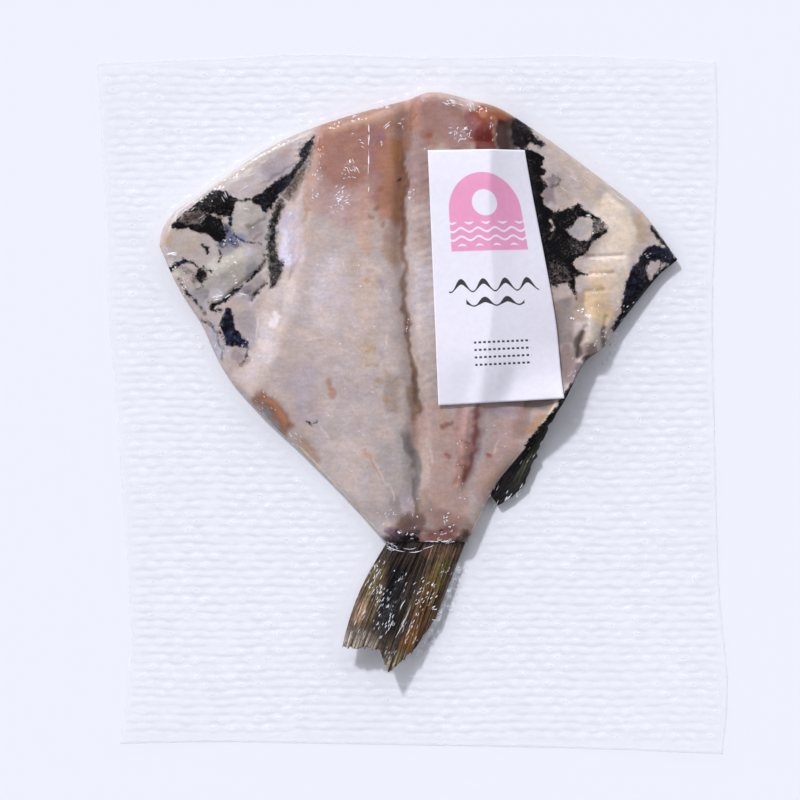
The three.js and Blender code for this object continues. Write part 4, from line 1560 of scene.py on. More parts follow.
@dataclass(frozen=True)
class PaperFinish:
    """White paper with a plain print: a pink arch with waves under a disc, dark swashes and small dashes.

    Places on it are shares of its height or, across it, of its width.
    """

    paper: Colour = (239, 238, 254)
    pink: Colour = (238, 160, 203)
    ink: Colour = (52, 48, 54)
    fibres: tuple = (500.0, 0.975, 1.015)
    roughness: float = 0.7
    width: float = 0.435
    soft: float = 0.003
    arch_centre: float = 0.52
    arch_foot: float = 0.6
    arch_spring: float = 0.76
    arch_radius: float = 0.15
    disc_rise: float = 0.03
    disc_radius: float = 0.052
    disc_soft: float = 0.002
    wave_turns: float = 40.0
    wave_swing: float = 0.008
    wave_rows: float = 30.0
    wave_edge: Point = (0.16, 0.1)
    wave_band: Point = (0.62, 0.715)
    swashes: tuple = ((0.46, 0.02, 0.13, 0.9), (0.395, 0.012, 0.27, 0.76))
    swash_turns: float = 33.0
    swash_thickness: Point = (0.003, 0.011)
    swash_soft: float = 0.0015
    dash_columns: float = 26.0
    dash_end: Point = (0.62, 0.5)
    dash_rows: float = 34.0
    dash_side: Point = (0.34, 0.22)
    dashed_across: Point = (0.31, 0.77)
    dashed_up: Point = (0.145, 0.262)

    def build(self, groups: SharedGroups) -> Material:
        """Build the material.

        Args:
            groups: the shared shader groups.

        Returns:
            The material.
        """
        material, nodes, shader = new_material("paper")
        across, up, _ = nodes.split(nodes.stored("sheet", "Vector"))
        aside = nodes.times(nodes.minus(across, self.arch_centre), self.width)
        over = nodes.math("MAXIMUM", nodes.minus(up, self.arch_spring), 0.0)
        foot = nodes.ramp(up, self.arch_foot - self.soft, self.arch_foot + self.soft)
        arch = nodes.times(self.within(nodes, aside, over, self.arch_radius), foot)
        above = nodes.minus(up, self.arch_spring + self.disc_rise)
        disc = self.within(nodes, aside, above, self.disc_radius)
        bare = nodes.math("MAXIMUM", self.waves(nodes, across, up), disc)
        print_colour = nodes.mix(bare, rgba(self.pink), rgba(self.paper))
        colour = nodes.mix(arch, rgba(self.paper), print_colour)
        ink = self.dashes(nodes, across, up)
        for swash in self.swashes:
            ink = nodes.math("MAXIMUM", ink, self.swash(nodes, across, up, *swash))
        colour = nodes.mix(ink, colour, rgba(self.ink))
        colour = nodes.tone(colour, groups.mottled(nodes, *self.fibres))
        nodes.feed(shader, {"Base Color": colour, "Roughness": self.roughness})
        return material

    def within(self, nodes: Nodes, aside: Socket, over: Socket, radius: float) -> Socket:
        """Make a mask that is 1 within a radius.

        Args:
            nodes: the material's nodes.
            aside: distance to the side.
            over: distance up.
            radius: the radius.

        Returns:
            The mask.
        """
        squares = nodes.plus(nodes.times(aside, aside), nodes.times(over, over))
        return nodes.ramp(nodes.math("SQRT", squares), radius + self.disc_soft, radius - self.disc_soft)

    def waves(self, nodes: Nodes, across: Socket, up: Socket) -> Socket:
        """Make a mask of the rows of waves in the arch.

        Args:
            nodes: the material's nodes.
            across: share across the sheet.
            up: share up the sheet.

        Returns:
            The mask.
        """
        swing = nodes.times(nodes.math("SINE", nodes.times(across, self.wave_turns)), self.wave_swing)
        phase = nodes.math("FRACT", nodes.times(nodes.plus(up, swing), self.wave_rows))
        wave = nodes.ramp(nodes.math("ABSOLUTE", nodes.minus(phase, 0.5)), *self.wave_edge)
        return nodes.times(wave, self.band(nodes, up, *self.wave_band))

    def dashes(self, nodes: Nodes, across: Socket, up: Socket) -> Socket:
        """Make a mask of the rows of small dashes.

        Args:
            nodes: the material's nodes.
            across: share across the sheet.
            up: share up the sheet.

        Returns:
            The mask.
        """
        columns = nodes.ramp(nodes.math("FRACT", nodes.times(across, self.dash_columns)), *self.dash_end)
        rows = nodes.ramp(nodes.math("FRACT", nodes.times(up, self.dash_rows)), *self.dash_side)
        dashes = nodes.times(nodes.times(columns, rows), self.band(nodes, across, *self.dashed_across))
        return nodes.times(dashes, self.band(nodes, up, *self.dashed_up))

    def swash(
        self, nodes: Nodes, across: Socket, up: Socket, level: float, swing: float, low: float, high: float
    ) -> Socket:
        """Make a mask of a brushed wave, thick on its crests and thin between them.

        Args:
            nodes: the material's nodes.
            across: share across the sheet.
            up: share up the sheet.
            level: its height.
            swing: how far it swings.
            low: where it starts across.
            high: where it ends.

        Returns:
            The mask.
        """
        turn = nodes.math("SINE", nodes.times(across, self.swash_turns))
        away = nodes.minus(up, nodes.plus(nodes.times(turn, swing), level))
        thick = nodes.ramp(turn, -1.0, 1.0, *self.swash_thickness)
        near = nodes.minus(nodes.math("ABSOLUTE", away), thick)
        brushed = nodes.ramp(near, self.swash_soft, -self.swash_soft)
        return nodes.times(brushed, self.band(nodes, across, low, high))

    def band(self, nodes: Nodes, value: Socket, low: float, high: float) -> Socket:
        """Make a mask that is 1 between two shares of the sheet.

        Args:
            nodes: the material's nodes.
            value: the share along the sheet.
            low: where it starts.
            high: where it ends.

        Returns:
            The mask.
        """
        start = nodes.ramp(value, low - self.soft, low + self.soft)
        return nodes.times(start, nodes.ramp(value, high + self.soft, high - self.soft))


@dataclass(frozen=True)
class FilmFinish:
    """Clear film: milky where it lies loose, with painted shade in the troughs of its embossing, painted dark
    lines along them and painted highlights on its crests, and bare but for its gleam where it clings.
    """

    clinging: Point = (0.5, 1.0)
    # Painted shade and highlight of the embossing: darker in the troughs, white on the crests, with painted
    # dark lines along the troughs
    ribs: tuple = (-1.1, 1.1, 0.45, 1.0)
    lines: tuple = (-1.1, -0.3, 0.15, 1.0)
    line_noise: Point = (1.0, 3.0)
    line_stretch: tuple = (170.0, 640.0, 1.0)
    line_swing: float = 3.6
    # Painted highlights: thicker white haze on the crests of the cells
    crest_highlights: Point = (0.85, 1.2)
    highlight_patches: tuple = (60.0, 2.0, 0.4, 0.6)
    highlight_haze: float = 3.0
    milk: tuple = (90.0, 0.92, 1.0)
    loose_mirror: float = 0.1
    roughness: Point = (0.5, 0.14)
    wrinkle_noise: Point = (260.0, 1.5)
    relief: Point = (1.0, 0.0016)

    def build(self, groups: SharedGroups) -> Material:
        """Build the material.

        Args:
            groups: the shared shader groups.

        Returns:
            The material.
        """
        material, nodes, shader = new_material("film")
        place = nodes.places()
        cling = nodes.ramp(nodes.stored("cling"), *self.clinging)
        emboss = nodes.stored("emboss")
        wave = rib_wave(nodes, place, RIB_PITCH, RIB_WAVER)
        # Painted shade of the embossing from its crest height, and painted dark lines along its troughs
        ribbed = nodes.ramp(nodes.stored("crest"), *self.ribs)
        drawn = nodes.stretch(place, self.line_stretch)
        ragged = nodes.swing(drawn, *self.line_noise, self.line_swing)
        line = nodes.ramp(nodes.plus(wave, ragged), *self.lines)
        ribbed = nodes.mix(emboss, ribbed, nodes.tone(ribbed, line))
        # Painted highlights on the crests of the cells
        crest_highlights = nodes.times(nodes.ramp(wave, *self.crest_highlights), emboss)
        crest_highlights = nodes.times(crest_highlights, nodes.patches(place, *self.highlight_patches))
        nodes.feed(shader, {
            "Base Color": nodes.tone(nodes.mix(cling, ribbed, WHITE), groups.mottled(nodes, *self.milk)),
            "Metallic": nodes.ramp(cling, 0.0, 1.0, self.loose_mirror, 1.0),
            "Roughness": nodes.ramp(cling, 0.0, 1.0, *self.roughness),
            "Alpha": nodes.times(nodes.stored("haze"), nodes.ramp(crest_highlights, 0.0, 1.0, 1.0, self.highlight_haze)),
        })
        puckers = nodes.times(nodes.noise(place, *self.wrinkle_noise), nodes.stored("gleam"))
        nodes.bump(shader, puckers, *self.relief)
        return material


@dataclass(frozen=True)
class PaintedGlintFilm:
    """White film for painted light: painted glints drawn as small white creases, and a painted white sheen on
    the air blisters.
    """

    name: str
    share: float
    white: tuple = (1400.0, 0.86, 0.97)
    roughness: float = 0.15

    def build(self, groups: SharedGroups) -> Material:
        """Build the material.

        Args:
            groups: the shared shader groups.

        Returns:
            The material.
        """
        material, nodes, shader = new_material(self.name)
        shade = groups.mottled(nodes, *self.white)
        nodes.feed(shader, {"Base Color": shade, "Roughness": self.roughness, "Alpha": self.share})
        return material


# Geometry node tools

def node_modifier(piece: Piece, tree: Tree, values: dict) -> None:
    """Run a geometry node tree on a piece and keep the result as its plain mesh.

    Args:
        piece: the object.
        tree: the tree.
        values: a value for each named input.
    """
    modifier = piece.modifiers.new(tree.name, "NODES")
    modifier.node_group = tree
    for item in tree.interface.items_tree:
        if item.item_type == "SOCKET" and item.in_out == "INPUT" and item.name in values:
            modifier[item.identifier] = values[item.name]
    depsgraph = bpy.context.evaluated_depsgraph_get()
    mesh = bpy.data.meshes.new_from_object(piece.evaluated_get(depsgraph), depsgraph=depsgraph)
    piece.modifiers.remove(modifier)
    mesh.name = piece.name
    piece.data = mesh


def new_tree(name: str, inputs: dict) -> tuple[Nodes, Sequence[Socket]]:
    """Start a geometry node tree.

    Args:
        name: its name.
        inputs: socket type of each named input after the geometry.

    Returns:
        Its node helper and the sockets of what it is given.
    """
    tree = bpy.data.node_groups.new(name, "GeometryNodeTree")
    tree.interface.new_socket("Geometry", in_out="INPUT", socket_type="NodeSocketGeometry")
    for label, kind in inputs.items():
        tree.interface.new_socket(label, in_out="INPUT", socket_type=kind)
    tree.interface.new_socket("Geometry", in_out="OUTPUT", socket_type="NodeSocketGeometry")
    nodes = Nodes(tree)
    return nodes, nodes.add("NodeGroupInput").outputs


def close_tree(nodes: Nodes, geometry: Socket, material: Socket) -> Tree:
    """End a tree: realize its copies, set their material and give them out.

    Args:
        nodes: the tree's helper.
        geometry: what it made.
        material: the material's socket.

    Returns:
        The tree.
    """
    real = nodes.add("GeometryNodeRealizeInstances", {0: geometry})
    painted = nodes.add("GeometryNodeSetMaterial", {"Geometry": real.outputs[0], "Material": material})
    nodes.add("NodeGroupOutput", {0: painted.outputs[0]})
    return nodes.tree


def ray_tree() -> Tree:
    """Make the tree that sweeps a round section along paths, as thick as each path says."""
    nodes, given = new_tree("Fin rays", {"Sides": "NodeSocketInt", "Material": "NodeSocketMaterial"})
    curve = nodes.add("GeometryNodeMeshToCurve", {0: given["Geometry"]})
    circle = nodes.add("GeometryNodeCurvePrimitiveCircle", {"Resolution": given["Sides"], "Radius": 1.0})
    swept = {0: curve.outputs[0], 1: circle.outputs[0], "Scale": nodes.marked("radius"), "Fill Caps": True}
    sweep = nodes.add("GeometryNodeCurveToMesh", swept)
    return close_tree(nodes, sweep.outputs[0], given["Material"])


def emboss_tree() -> Tree:
    """Make the tree that lifts the film in wavering ribs and cells where it is marked for them."""
    numbers = dict.fromkeys(("Pitch", "Depth", "Waver"), "NodeSocketFloat")
    nodes, given = new_tree("Embossed ribs", {**numbers, "Material": "NodeSocketMaterial"})
    place = nodes.add("GeometryNodeInputPosition").outputs[0]
    wave = rib_wave(nodes, place, given["Pitch"], given["Waver"])
    strength = nodes.patches(nodes.stretch(place, RIB_STRETCH), *RIB_STRENGTH)
    height = nodes.times(wave, strength)
    marked = nodes.marked("emboss")
    lift = nodes.times(height, nodes.times(marked, given["Depth"]))
    offset = nodes.add("ShaderNodeCombineXYZ", {2: lift}).outputs[0]
    moved = nodes.add("GeometryNodeSetPosition", {"Geometry": given["Geometry"], "Offset": offset})
    crest = {"Geometry": moved.outputs[0], "Name": "crest", "Value": nodes.times(height, marked)}
    kept = nodes.add("GeometryNodeStoreNamedAttribute", crest, data_type="FLOAT")
    return close_tree(nodes, kept.outputs[0], given["Material"])


BALL = {"Segments": 20, "Rings": 10, "Radius": 1.0}
FLATTENED = (1.0, 1.0, 0.24)


def blister_tree() -> Tree:
    """Make the tree that sets a flat round blister on each point, of the size that it says."""
    nodes, given = new_tree("Air blisters", {"Seed": "NodeSocketInt", "Material": "NodeSocketMaterial"})
    ball = nodes.add("GeometryNodeMeshUVSphere", BALL)
    flat = nodes.add("GeometryNodeTransform", {0: ball.outputs[0], "Scale": FLATTENED})
    smooth = nodes.add("GeometryNodeSetShadeSmooth", {0: flat.outputs[0]})
    turn = nodes.add("FunctionNodeRandomValue", {"Seed": given["Seed"], 3: 2 * np.pi}, data_type="FLOAT")
    spin = nodes.add("ShaderNodeCombineXYZ", {2: turn.outputs[1]}).outputs[0]
    copies = nodes.add("GeometryNodeInstanceOnPoints", {
        "Points": given["Geometry"],
        "Instance": smooth.outputs[0],
        "Rotation": spin,
        "Scale": nodes.marked("radius"),
    })
    return close_tree(nodes, copies.outputs[0], given["Material"])


def dress(piece: Piece, slot: Slot, node: Node | None, *materials: Material) -> None:
    """Give a piece its materials and its place in the frame.

    Args:
        piece: the object.
        slot: its kind of material; film casts no shadow.
        node: the solid that it stands for, if any.
        materials: its materials in order, or none where it has them.
    """
    if materials:
        piece.data.materials.clear()
        for material in materials:
            piece.data.materials.append(material)
    piece.visible_shadow = slot is not Slot.FILM
    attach(piece, "root")
    if node:
        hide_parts(node.value)
    triangles = sum(len(face.vertices) - 2 for face in piece.data.polygons)
    LOG.info("%s: %d triangles", piece.name, triangles)


# Pieces

@dataclass
class OpenedFish:
    """The two halves of the opened fish, flesh up.

    Attributes:
        columns: steps across each half, a multiple of four.
        rows: steps along the fish, a multiple of four.
        seed: seed of its uneven surface.
    """

    columns: int = 160
    rows: int = 268
    seed: int = 11

    STRIDE = 4
    BULGE = 0.5
    RIM_THICKNESS = 1.8
    RIM_ROUND = 5.0
    RIM_CURL = 1.1
    NAPE_ROUND = 5.0
    NAPE_CUT_SHARE = 0.5
    CLOSE_COLUMNS = ((0, 0.3, 1), (0, 0.42, 1))
    CLOSE_ROWS = ((0, 0.3, 1), (0, 0.5, 1))
    WARPS = ((3.2, 14, 15), (1.8, 5, 5.5))
    LUMPS = ((0.3, 15), (0.14, 6), (0.04, 2.4))
    LINING_STEP = (-0.6, 1.4)
    LINING_HEIGHT = 0.14
    RIB_HEIGHT = 0.05
    RIB_WANDER = (0.8, 7)
    RIBBED_STRIP = ((421, 150), (424, 240), (425, 330), (430, 396))
    STRIP_REACH = (8, 14)
    RIBBED_FILLET = ((352, 140), (345, 260), (350, 400))
    FILLET_REACH = (22, 50)
    FILLET_SHARE = 0.12

    def build(self, groups: SharedGroups) -> Piece:
        """Build and dress the fish.

        Args:
            groups: the shared shader groups.

        Returns:
            The object.
        """
        piece = Slab("fish_body", *self.shape(), self.STRIDE, self.BULGE).build()
        x, y = to_pixels(*flat_places(piece))
        noise = Noise(self.seed + 1)
        warped_x, warped_y = x, y
        for size, wide, high in self.WARPS:
            warped_x = warped_x + size * noise.at(x, y, wide)
            warped_y = warped_y + size * noise.at(y, x, high)
        tint = paint(FLESH_COLOUR, FLESH_STROKES, warped_x, warped_y)
        set_values(piece, "tint", paint(tint, RIM_STROKES, x, y))
        set_values(piece, "grain", self.grain(x, y))
        for name, values in zip(("lining", "lining_density", "lining_blue"), lay_lining(x, y)):
            set_values(piece, name, values)
        dress(piece, Slot.FISH, Node.FISH, FleshFinish().build(groups), SkinFinish().build(groups))
        return piece

    def shape(self) -> tuple[Array, Array]:
        """Work out its upper and lower points.

        Returns:
            Two grids of points in millimetres.
        """
        step = np.linspace(-1, 1, 2 * self.columns + 1)
        across = np.interp(np.abs(step), *self.CLOSE_COLUMNS)
        u, v = np.meshgrid(across, np.interp(np.linspace(0, 1, self.rows + 1), *self.CLOSE_ROWS))
        is_left = (step < 0)[None, :, None]
        place = np.where(
            is_left,
            patch(GROOVE, LEFT_EDGE, LEFT_ROOT, LEFT_NAPE, u, v),
            patch(GROOVE, RIGHT_EDGE, RIGHT_ROOT, RIGHT_NAPE, u, v),
        )
        edge = np.where(is_left, LEFT_EDGE.at(v), RIGHT_EDGE.at(v))
        cut = np.where(is_left, LEFT_NAPE.at(u), RIGHT_NAPE.at(u))
        rim = quarter_round(np.linalg.norm(place - edge, axis=-1), self.RIM_ROUND)
        nape = quarter_round(np.linalg.norm(place - cut, axis=-1), self.NAPE_ROUND)
        x, y = place[..., 0], place[..., 1]
        flesh = flesh_at(x, y) * blend(self.NAPE_CUT_SHARE, 1, nape)
        bottom = skin_at(x, y) + self.RIM_CURL * (1 - rim)
        edge_height = self.RIM_THICKNESS + swells_at(x, y, RIM_SWELLS)
        flesh = np.maximum(flesh, self.RIM_THICKNESS)
        top = bottom + blend(np.minimum(edge_height, flesh), flesh, rim)
        top = top + self.relief(x, y) * rim * nape
        return np.dstack([x, y, top]), np.dstack([x, y, bottom])

    def relief(self, x: Array, y: Array) -> Array:
        """Work out the lumps, folds and lining of the upper side.

        Args:
            x: millimetres to the right.
            y: millimetres towards the nape.

        Returns:
            Heights in millimetres.
        """
        noise = Noise(self.seed)
        lumps = sum(height * noise.at(x, y, size) for height, size in self.LUMPS)
        px, py = to_pixels(x, y)
        lining = ease(-lay_lining(px, py)[0], *self.LINING_STEP)
        wander, size = self.RIB_WANDER
        along = y - MUSCLE_SLANT * x + wander * noise.at(x, y, size)
        ribs = np.sin(2 * np.pi * along / MUSCLE_PITCH) * self.grain(px, py)
        return lumps + folds_at(FLESH_FOLDS, px, py) + self.LINING_HEIGHT * lining + self.RIB_HEIGHT * ribs

    def grain(self, x: Array, y: Array) -> Array:
        """Tell how strongly the flesh shows its ribs.

        Args:
            x: pixels to the right.
            y: pixels down.

        Returns:
            Shares from 0 to 1.
        """
        strip = 1 - ease(distance_to_path(x, y, self.RIBBED_STRIP), *self.STRIP_REACH)
        fillet = 1 - ease(distance_to_path(x, y, self.RIBBED_FILLET), *self.FILLET_REACH)
        return np.maximum(strip, self.FILLET_SHARE * fillet)


@dataclass
class Fin:
    """A fan of thin skin with rays lying in it.

    Attributes:
        name: name of its pieces.
        rays: how many rays show.
        columns: steps across the fan, even.
        rows: steps along it, even.
        ray_radius: a ray's radius at its root, in millimetres.
    """

    name: str
    rays: int
    columns: int
    rows: int
    ray_radius: float

    WEB_STRIDE = 2
    WEB_BULGE = 0.15
    RAY_POINTS = 26
    RAY_SIDES = 6
    RAY_END = 0.985
    RAY_SINK = 0.06
    RAY_TIP_SHARE = 0.35
    RAY_SCATTER = 0.35
    RAY_SIZES = (0.35, 1.1)
    STROKE_FADE = 0.3

    def surface(self, across: Array, along: Array) -> tuple[Array, Array, Array]:
        """Give place, lower height and upper height at shares across and along the fan."""
        raise NotImplementedError

    def strokes(self) -> tuple[Colour, Sequence[Stroke]]:
        """Give the ground colour and the strokes on it."""
        raise NotImplementedError

    def build(self, groups: SharedGroups, finish: FinFinish) -> list[Piece]:
        """Build and dress the web and the rays.

        Args:
            groups: the shared shader groups.
            finish: what it looks like.

        Returns:
            The two objects.
        """
        across, along = np.meshgrid(np.linspace(0, 1, self.columns + 1), np.linspace(1, 0, self.rows + 1))
        place, low, high = self.surface(across, along)
        top, bottom = np.dstack([place, high]), np.dstack([place, low])
        slab = Slab(self.name + "_web", top, bottom, self.WEB_STRIDE, self.WEB_BULGE)
        web = slab.build()
        material = finish.build(groups)
        self.colour(web, slab.spread(across, along))
        dress(web, Slot.FISH, None, material, material)
        return [web, self.build_rays(material)]

    def build_rays(self, material: Material) -> Piece:
        """Build the rays as tubes along paths on the fan.

        Args:
            material: what they are made of.

        Returns:
            The object.
        """
        rng = np.random.default_rng(self.rays)
        scatter = rng.uniform(-self.RAY_SCATTER, self.RAY_SCATTER, self.rays)
        shares = (np.arange(self.rays) + 0.5 + scatter) / self.rays
        thickness = self.ray_radius * MM * rng.uniform(*self.RAY_SIZES, self.rays)
        across, along = np.meshgrid(shares, np.linspace(0.0, self.RAY_END, self.RAY_POINTS), indexing="ij")
        place, _, high = self.surface(across, along)
        points = np.dstack([place, high - self.RAY_SINK]).reshape(-1, 3)
        piece = new_piece(self.name + "_rays", points, [], chain_edges(self.rays, self.RAY_POINTS))
        set_values(piece, "radius", (thickness[:, None] * blend(1, self.RAY_TIP_SHARE, along)).ravel())
        self.colour(piece, np.dstack([across, along, np.zeros(across.shape)]).reshape(-1, 3))
        node_modifier(piece, ray_tree(), {"Sides": self.RAY_SIDES, "Material": material})
        piece.data.shade_smooth()
        dress(piece, Slot.FISH, None)
        return piece

    def colour(self, piece: Piece, fans: Array) -> None:
        """Store the colours and the shares of the fan on a piece.

        Args:
            piece: the object.
            fans: share across, share along and zero for each vertex.
        """
        ground, strokes = self.strokes()
        x, y = to_pixels(*flat_places(piece))
        set_values(piece, "tint", paint(ground, strokes, x, y, self.STROKE_FADE))
        set_values(piece, "fan", fans)


@dataclass
class TailFin(Fin):
    """The tail: two lobes, the right one lying a little over the left one."""

    ROOT = ((-9.4, -54.4), (21.2, -55))
    END_SHARES = (0, 0.42, 0.47, 0.57, 0.8, 1)
    END_X = (-27.8, -15.8, -13.6, -9.6, 0.4, 9)
    END_Y = (-96.5, -97.2, -97.4, -107, -98.2, -85.6)
    SEED = 23
    FRAYS = ((0.02, 60), (0.012, 140))
    BURIED = 0.1
    BOW = 2.6
    BOWED_SIDE = (0, 0.45)
    LIFT = 0.3
    RISE = 6.0
    RISE_ALONG = (0.15, 1.05)
    LOW_SIDE = (0.5, 0.95)
    LOW_SHARE = 0.1
    LOBE_STEP = 1.1
    LOBE_SPLIT = (0.38, 0.46)
    LOBE_PARTING = (0, 0.6)
    ROOT_THICKNESS = 5.6
    END_THICKNESS = 1.1
    THINNING = (-0.1, 0.7)
    COMBS = ((0.4, 44, 3), (0.3, 14, 4))
    WRINKLE = (0.5, 8, 24)
    WRINKLED = (0.05, 0.3)

    def surface(self, across: Array, along: Array) -> tuple[Array, Array, Array]:
        """Give the tail's surface.

        Args:
            across: share from the left side to the right side.
            along: share from the root to the end.

        Returns:
            Places, lower heights and upper heights in millimetres.
        """
        noise = Noise(self.SEED)
        fray = sum(size * noise.at(across * count, across, 1) for size, count in self.FRAYS)
        reach = blend(-self.BURIED, 1 + fray, along)
        root = blend(np.array(self.ROOT[0]), np.array(self.ROOT[1]), across[..., None])
        tip = np.dstack([np.interp(across, self.END_SHARES, ends) for ends in (self.END_X, self.END_Y)])
        place = blend(root, tip, reach[..., None])
        bowed = 1 - ease(across, *self.BOWED_SIDE)
        place[..., 0] -= self.BOW * bowed * np.sin(np.pi * np.clip(reach, 0, 1))
        x, y = place[..., 0], place[..., 1]
        crown = (1 - (2 * across - 1) ** 4) * (1 - ease(reach, *self.THINNING))
        side = blend(1, self.LOW_SHARE, ease(across, *self.LOW_SIDE))
        curl = self.RISE * ease(reach, *self.RISE_ALONG) * side
        lobe = self.LOBE_STEP * ease(across, *self.LOBE_SPLIT) * ease(reach, *self.LOBE_PARTING)
        low = skin_at(x, y) + self.LIFT + lobe + curl
        comb = sum(size * noise.at(across * wide, along * tall, 1) for size, wide, tall in self.COMBS)
        size, wide, tall = self.WRINKLE
        wrinkles = size * noise.at(across * wide, along * tall, 1) * (1 - ease(along, *self.WRINKLED))
        return place, low, low + blend(self.END_THICKNESS, self.ROOT_THICKNESS, crown) + comb + wrinkles

    def strokes(self) -> tuple[Colour, Sequence[Stroke]]:
        """Give the tail's colours.

        Returns:
            The ground and the strokes on it.
        """
        return (64, 54, 46), tuple(Stroke(*row) for row in (
            ("left lobe", (104, 86, 64), ((388, 552), (366, 604), (352, 636)), 7, 9, 0.9),
            ("olive of the left lobe", (104, 94, 58), ((382, 562), (366, 598)), 2, 7, 0.7),
            ("tan of the left lobe", (146, 118, 92), ((366, 594), (354, 626)), 2, 6, 0.75),
            ("left end", (168, 156, 146), ((342, 642), (352, 645), (362, 646)), 2, 22, 0.9),
            ("middle", (17, 15, 17), ((404, 546), (393, 595), (382, 646)), 7, 7, 0.97),
            ("right lobe", (100, 83, 60), ((446, 550), (436, 580), (412, 634)), 8, 9, 0.9),
            ("dark of the right lobe", (48, 39, 33), ((418, 548), (404, 606)), 3, 6, 0.7),
            ("olive of the right lobe", (104, 96, 58), ((448, 548), (432, 596)), 3, 8, 0.7),
            ("ochre of the right lobe", (112, 84, 46), ((438, 566), (416, 622)), 3, 8, 0.7),
            ("amber", (104, 68, 44), ((430, 596), (418, 624), (406, 650)), 3, 8, 0.75),
            ("ochre of the end", (138, 100, 50), ((416, 622), (400, 656)), 2, 7, 0.8),
            ("right end", (146, 132, 106), ((388, 668), (402, 656)), 2, 9, 0.8),
            ("dark root", (48, 39, 38), ((380, 541), (425, 547), (472, 543)), 3, 12, 0.9),
            ("brown root", (116, 88, 72), ((430, 551), (458, 551)), 3, 8, 0.8),
            ("right edge", (66, 50, 40), ((464, 544), (446, 588), (428, 626)), 1.5, 5, 0.7),
        ))


@dataclass
class AnalFin(Fin):
    """The anal fin along the right edge."""

    INNER = Curve((29.5, -34.5), (39, -22), (55, -3.4))
    OUTER = Curve((34.6, -40.6), (39, -37.4), (43.4, -33.4), (48.3, -23.2), (52.8, -11.8), (60, 1.2))
    SEED = 31
    LIFT = 0.8
    RISE = 2.6
    THICKNESS = 1.5
    TAPER = 0.6
    EDGE_WAVE = (0.5, 26)
    RAY_RELIEF = 0.25
    RIPPLE = (0.25, 9, 12)

    def surface(self, across: Array, along: Array) -> tuple[Array, Array, Array]:
        """Give the fin's surface.

        Args:
            across: share from the body to the free edge.
            along: share from the low end to the high end, turned over.

        Returns:
            Places, lower heights and upper heights in millimetres.
        """
        share = 1 - along
        place = blend(self.INNER.at(share), self.OUTER.at(share), across[..., None])
        noise = Noise(self.SEED)
        size, count = self.EDGE_WAVE
        place[..., 0] += size * across * noise.at(share * count, across, 1)
        low = skin_at(place[..., 0], place[..., 1]) + self.LIFT + self.RISE * share
        size, wide, tall = self.RIPPLE
        comb = self.RAY_RELIEF * np.abs(np.sin(np.pi * self.rays * across))
        comb = comb + size * noise.at(across * wide, along * tall, 1)
        return place, low, low + self.THICKNESS * blend(1, self.TAPER, across) + comb

    def strokes(self) -> tuple[Colour, Sequence[Stroke]]:
        """Give the fin's colours.

        Returns:
            The ground and the strokes on it.
        """
        return (34, 31, 31), tuple(Stroke(*row) for row in (
            ("olive streak", (70, 72, 60), ((548, 424), (530, 458), (512, 488)), 1.4, 4, 0.8),
            ("black root", (20, 18, 18), ((540, 430), (516, 462), (498, 490)), 2, 5, 0.8),
        ))


@dataclass
class PaperLabel:
    """The paper slip, creased over the backbone."""

    columns: int = 80
    rows: int = 128
    seed: int = 41

    STRIDE = 4
    LOW = ((10.2, -0.8), (60.2, 2))
    HIGH = ((6, 100.2), (44.6, 100.8))
    BOW = 1.6
    BOW_RISE = (0.0, 0.33)
    BOW_FALL = (0.33, 1.0)
    THICKNESS = 0.3
    CLEARANCE = 0.9
    PRESSED = 0.3
    PRESSED_SHARE = 0.85
    PRESSED_UP = (0, 0.2)
    PRESSED_ACROSS = (0.45, 0.85)
    SAG = 0.55
    SAG_START = 0.62
    SAG_UP = (0.35, 0.7)
    WAVE = 0.12
    WAVE_SIZE = 22

    def place(self, across: Array, up: Array) -> Array:
        """Give places on the slip by shares across and up it."""
        low = blend(np.array(self.LOW[0]), np.array(self.LOW[1]), across[..., None])
        high = blend(np.array(self.HIGH[0]), np.array(self.HIGH[1]), across[..., None])
        place = blend(low, high, up[..., None])
        place[..., 0] += self.BOW * across * ease(up, *self.BOW_RISE) * (1 - ease(up, *self.BOW_FALL))
        return place

    def taut_over(self, supports: Array) -> Array:
        """Lay a taut strip over a row of supports one step apart.

        Args:
            supports: the height of each support.

        Returns:
            The strip's heights, straight between the supports that lift it.
        """
        held: list[int] = []
        for step, height in enumerate(supports):
            while len(held) > 1:
                share = (held[-1] - held[-2]) / (step - held[-2])
                if supports[held[-1]] > blend(supports[held[-2]], height, share):
                    break
                held.pop()
            held.append(step)
        return np.interp(np.arange(len(supports)), held, supports[held])

    def build(self, groups: SharedGroups) -> Piece:
        """Build and dress the slip.

        Args:
            groups: the shared shader groups.

        Returns:
            The object.
        """
        across, up = np.meshgrid(np.linspace(0, 1, self.columns + 1), np.linspace(0, 1, self.rows + 1))
        place = self.place(across, up)
        x, y = place[..., 0], place[..., 1]
        clear = skin_at(x, y) + flesh_at(x, y) + self.CLEARANCE
        low = np.array([self.taut_over(row) for row in clear])
        pressed = (1 - ease(up, *self.PRESSED_UP)) * (1 - ease(across, *self.PRESSED_ACROSS))
        low = blend(low, clear - self.PRESSED, self.PRESSED_SHARE * pressed)
        sagging = np.clip((across - self.SAG_START) / (1 - self.SAG_START), 0, 1)
        low = low - self.SAG * np.sin(np.pi * sagging) * ease(up, *self.SAG_UP)
        low = low + self.WAVE * (1 + Noise(self.seed).at(x, y, self.WAVE_SIZE))
        top, bottom = np.dstack([place, low + self.THICKNESS]), np.dstack([place, low])
        slab = Slab("paper_label", top, bottom, self.STRIDE)
        piece = slab.build()
        set_values(piece, "sheet", slab.spread(across, up))
        paper = PaperFinish().build(groups)
        dress(piece, Slot.LABEL, Node.LABEL, paper, paper)
        return piece


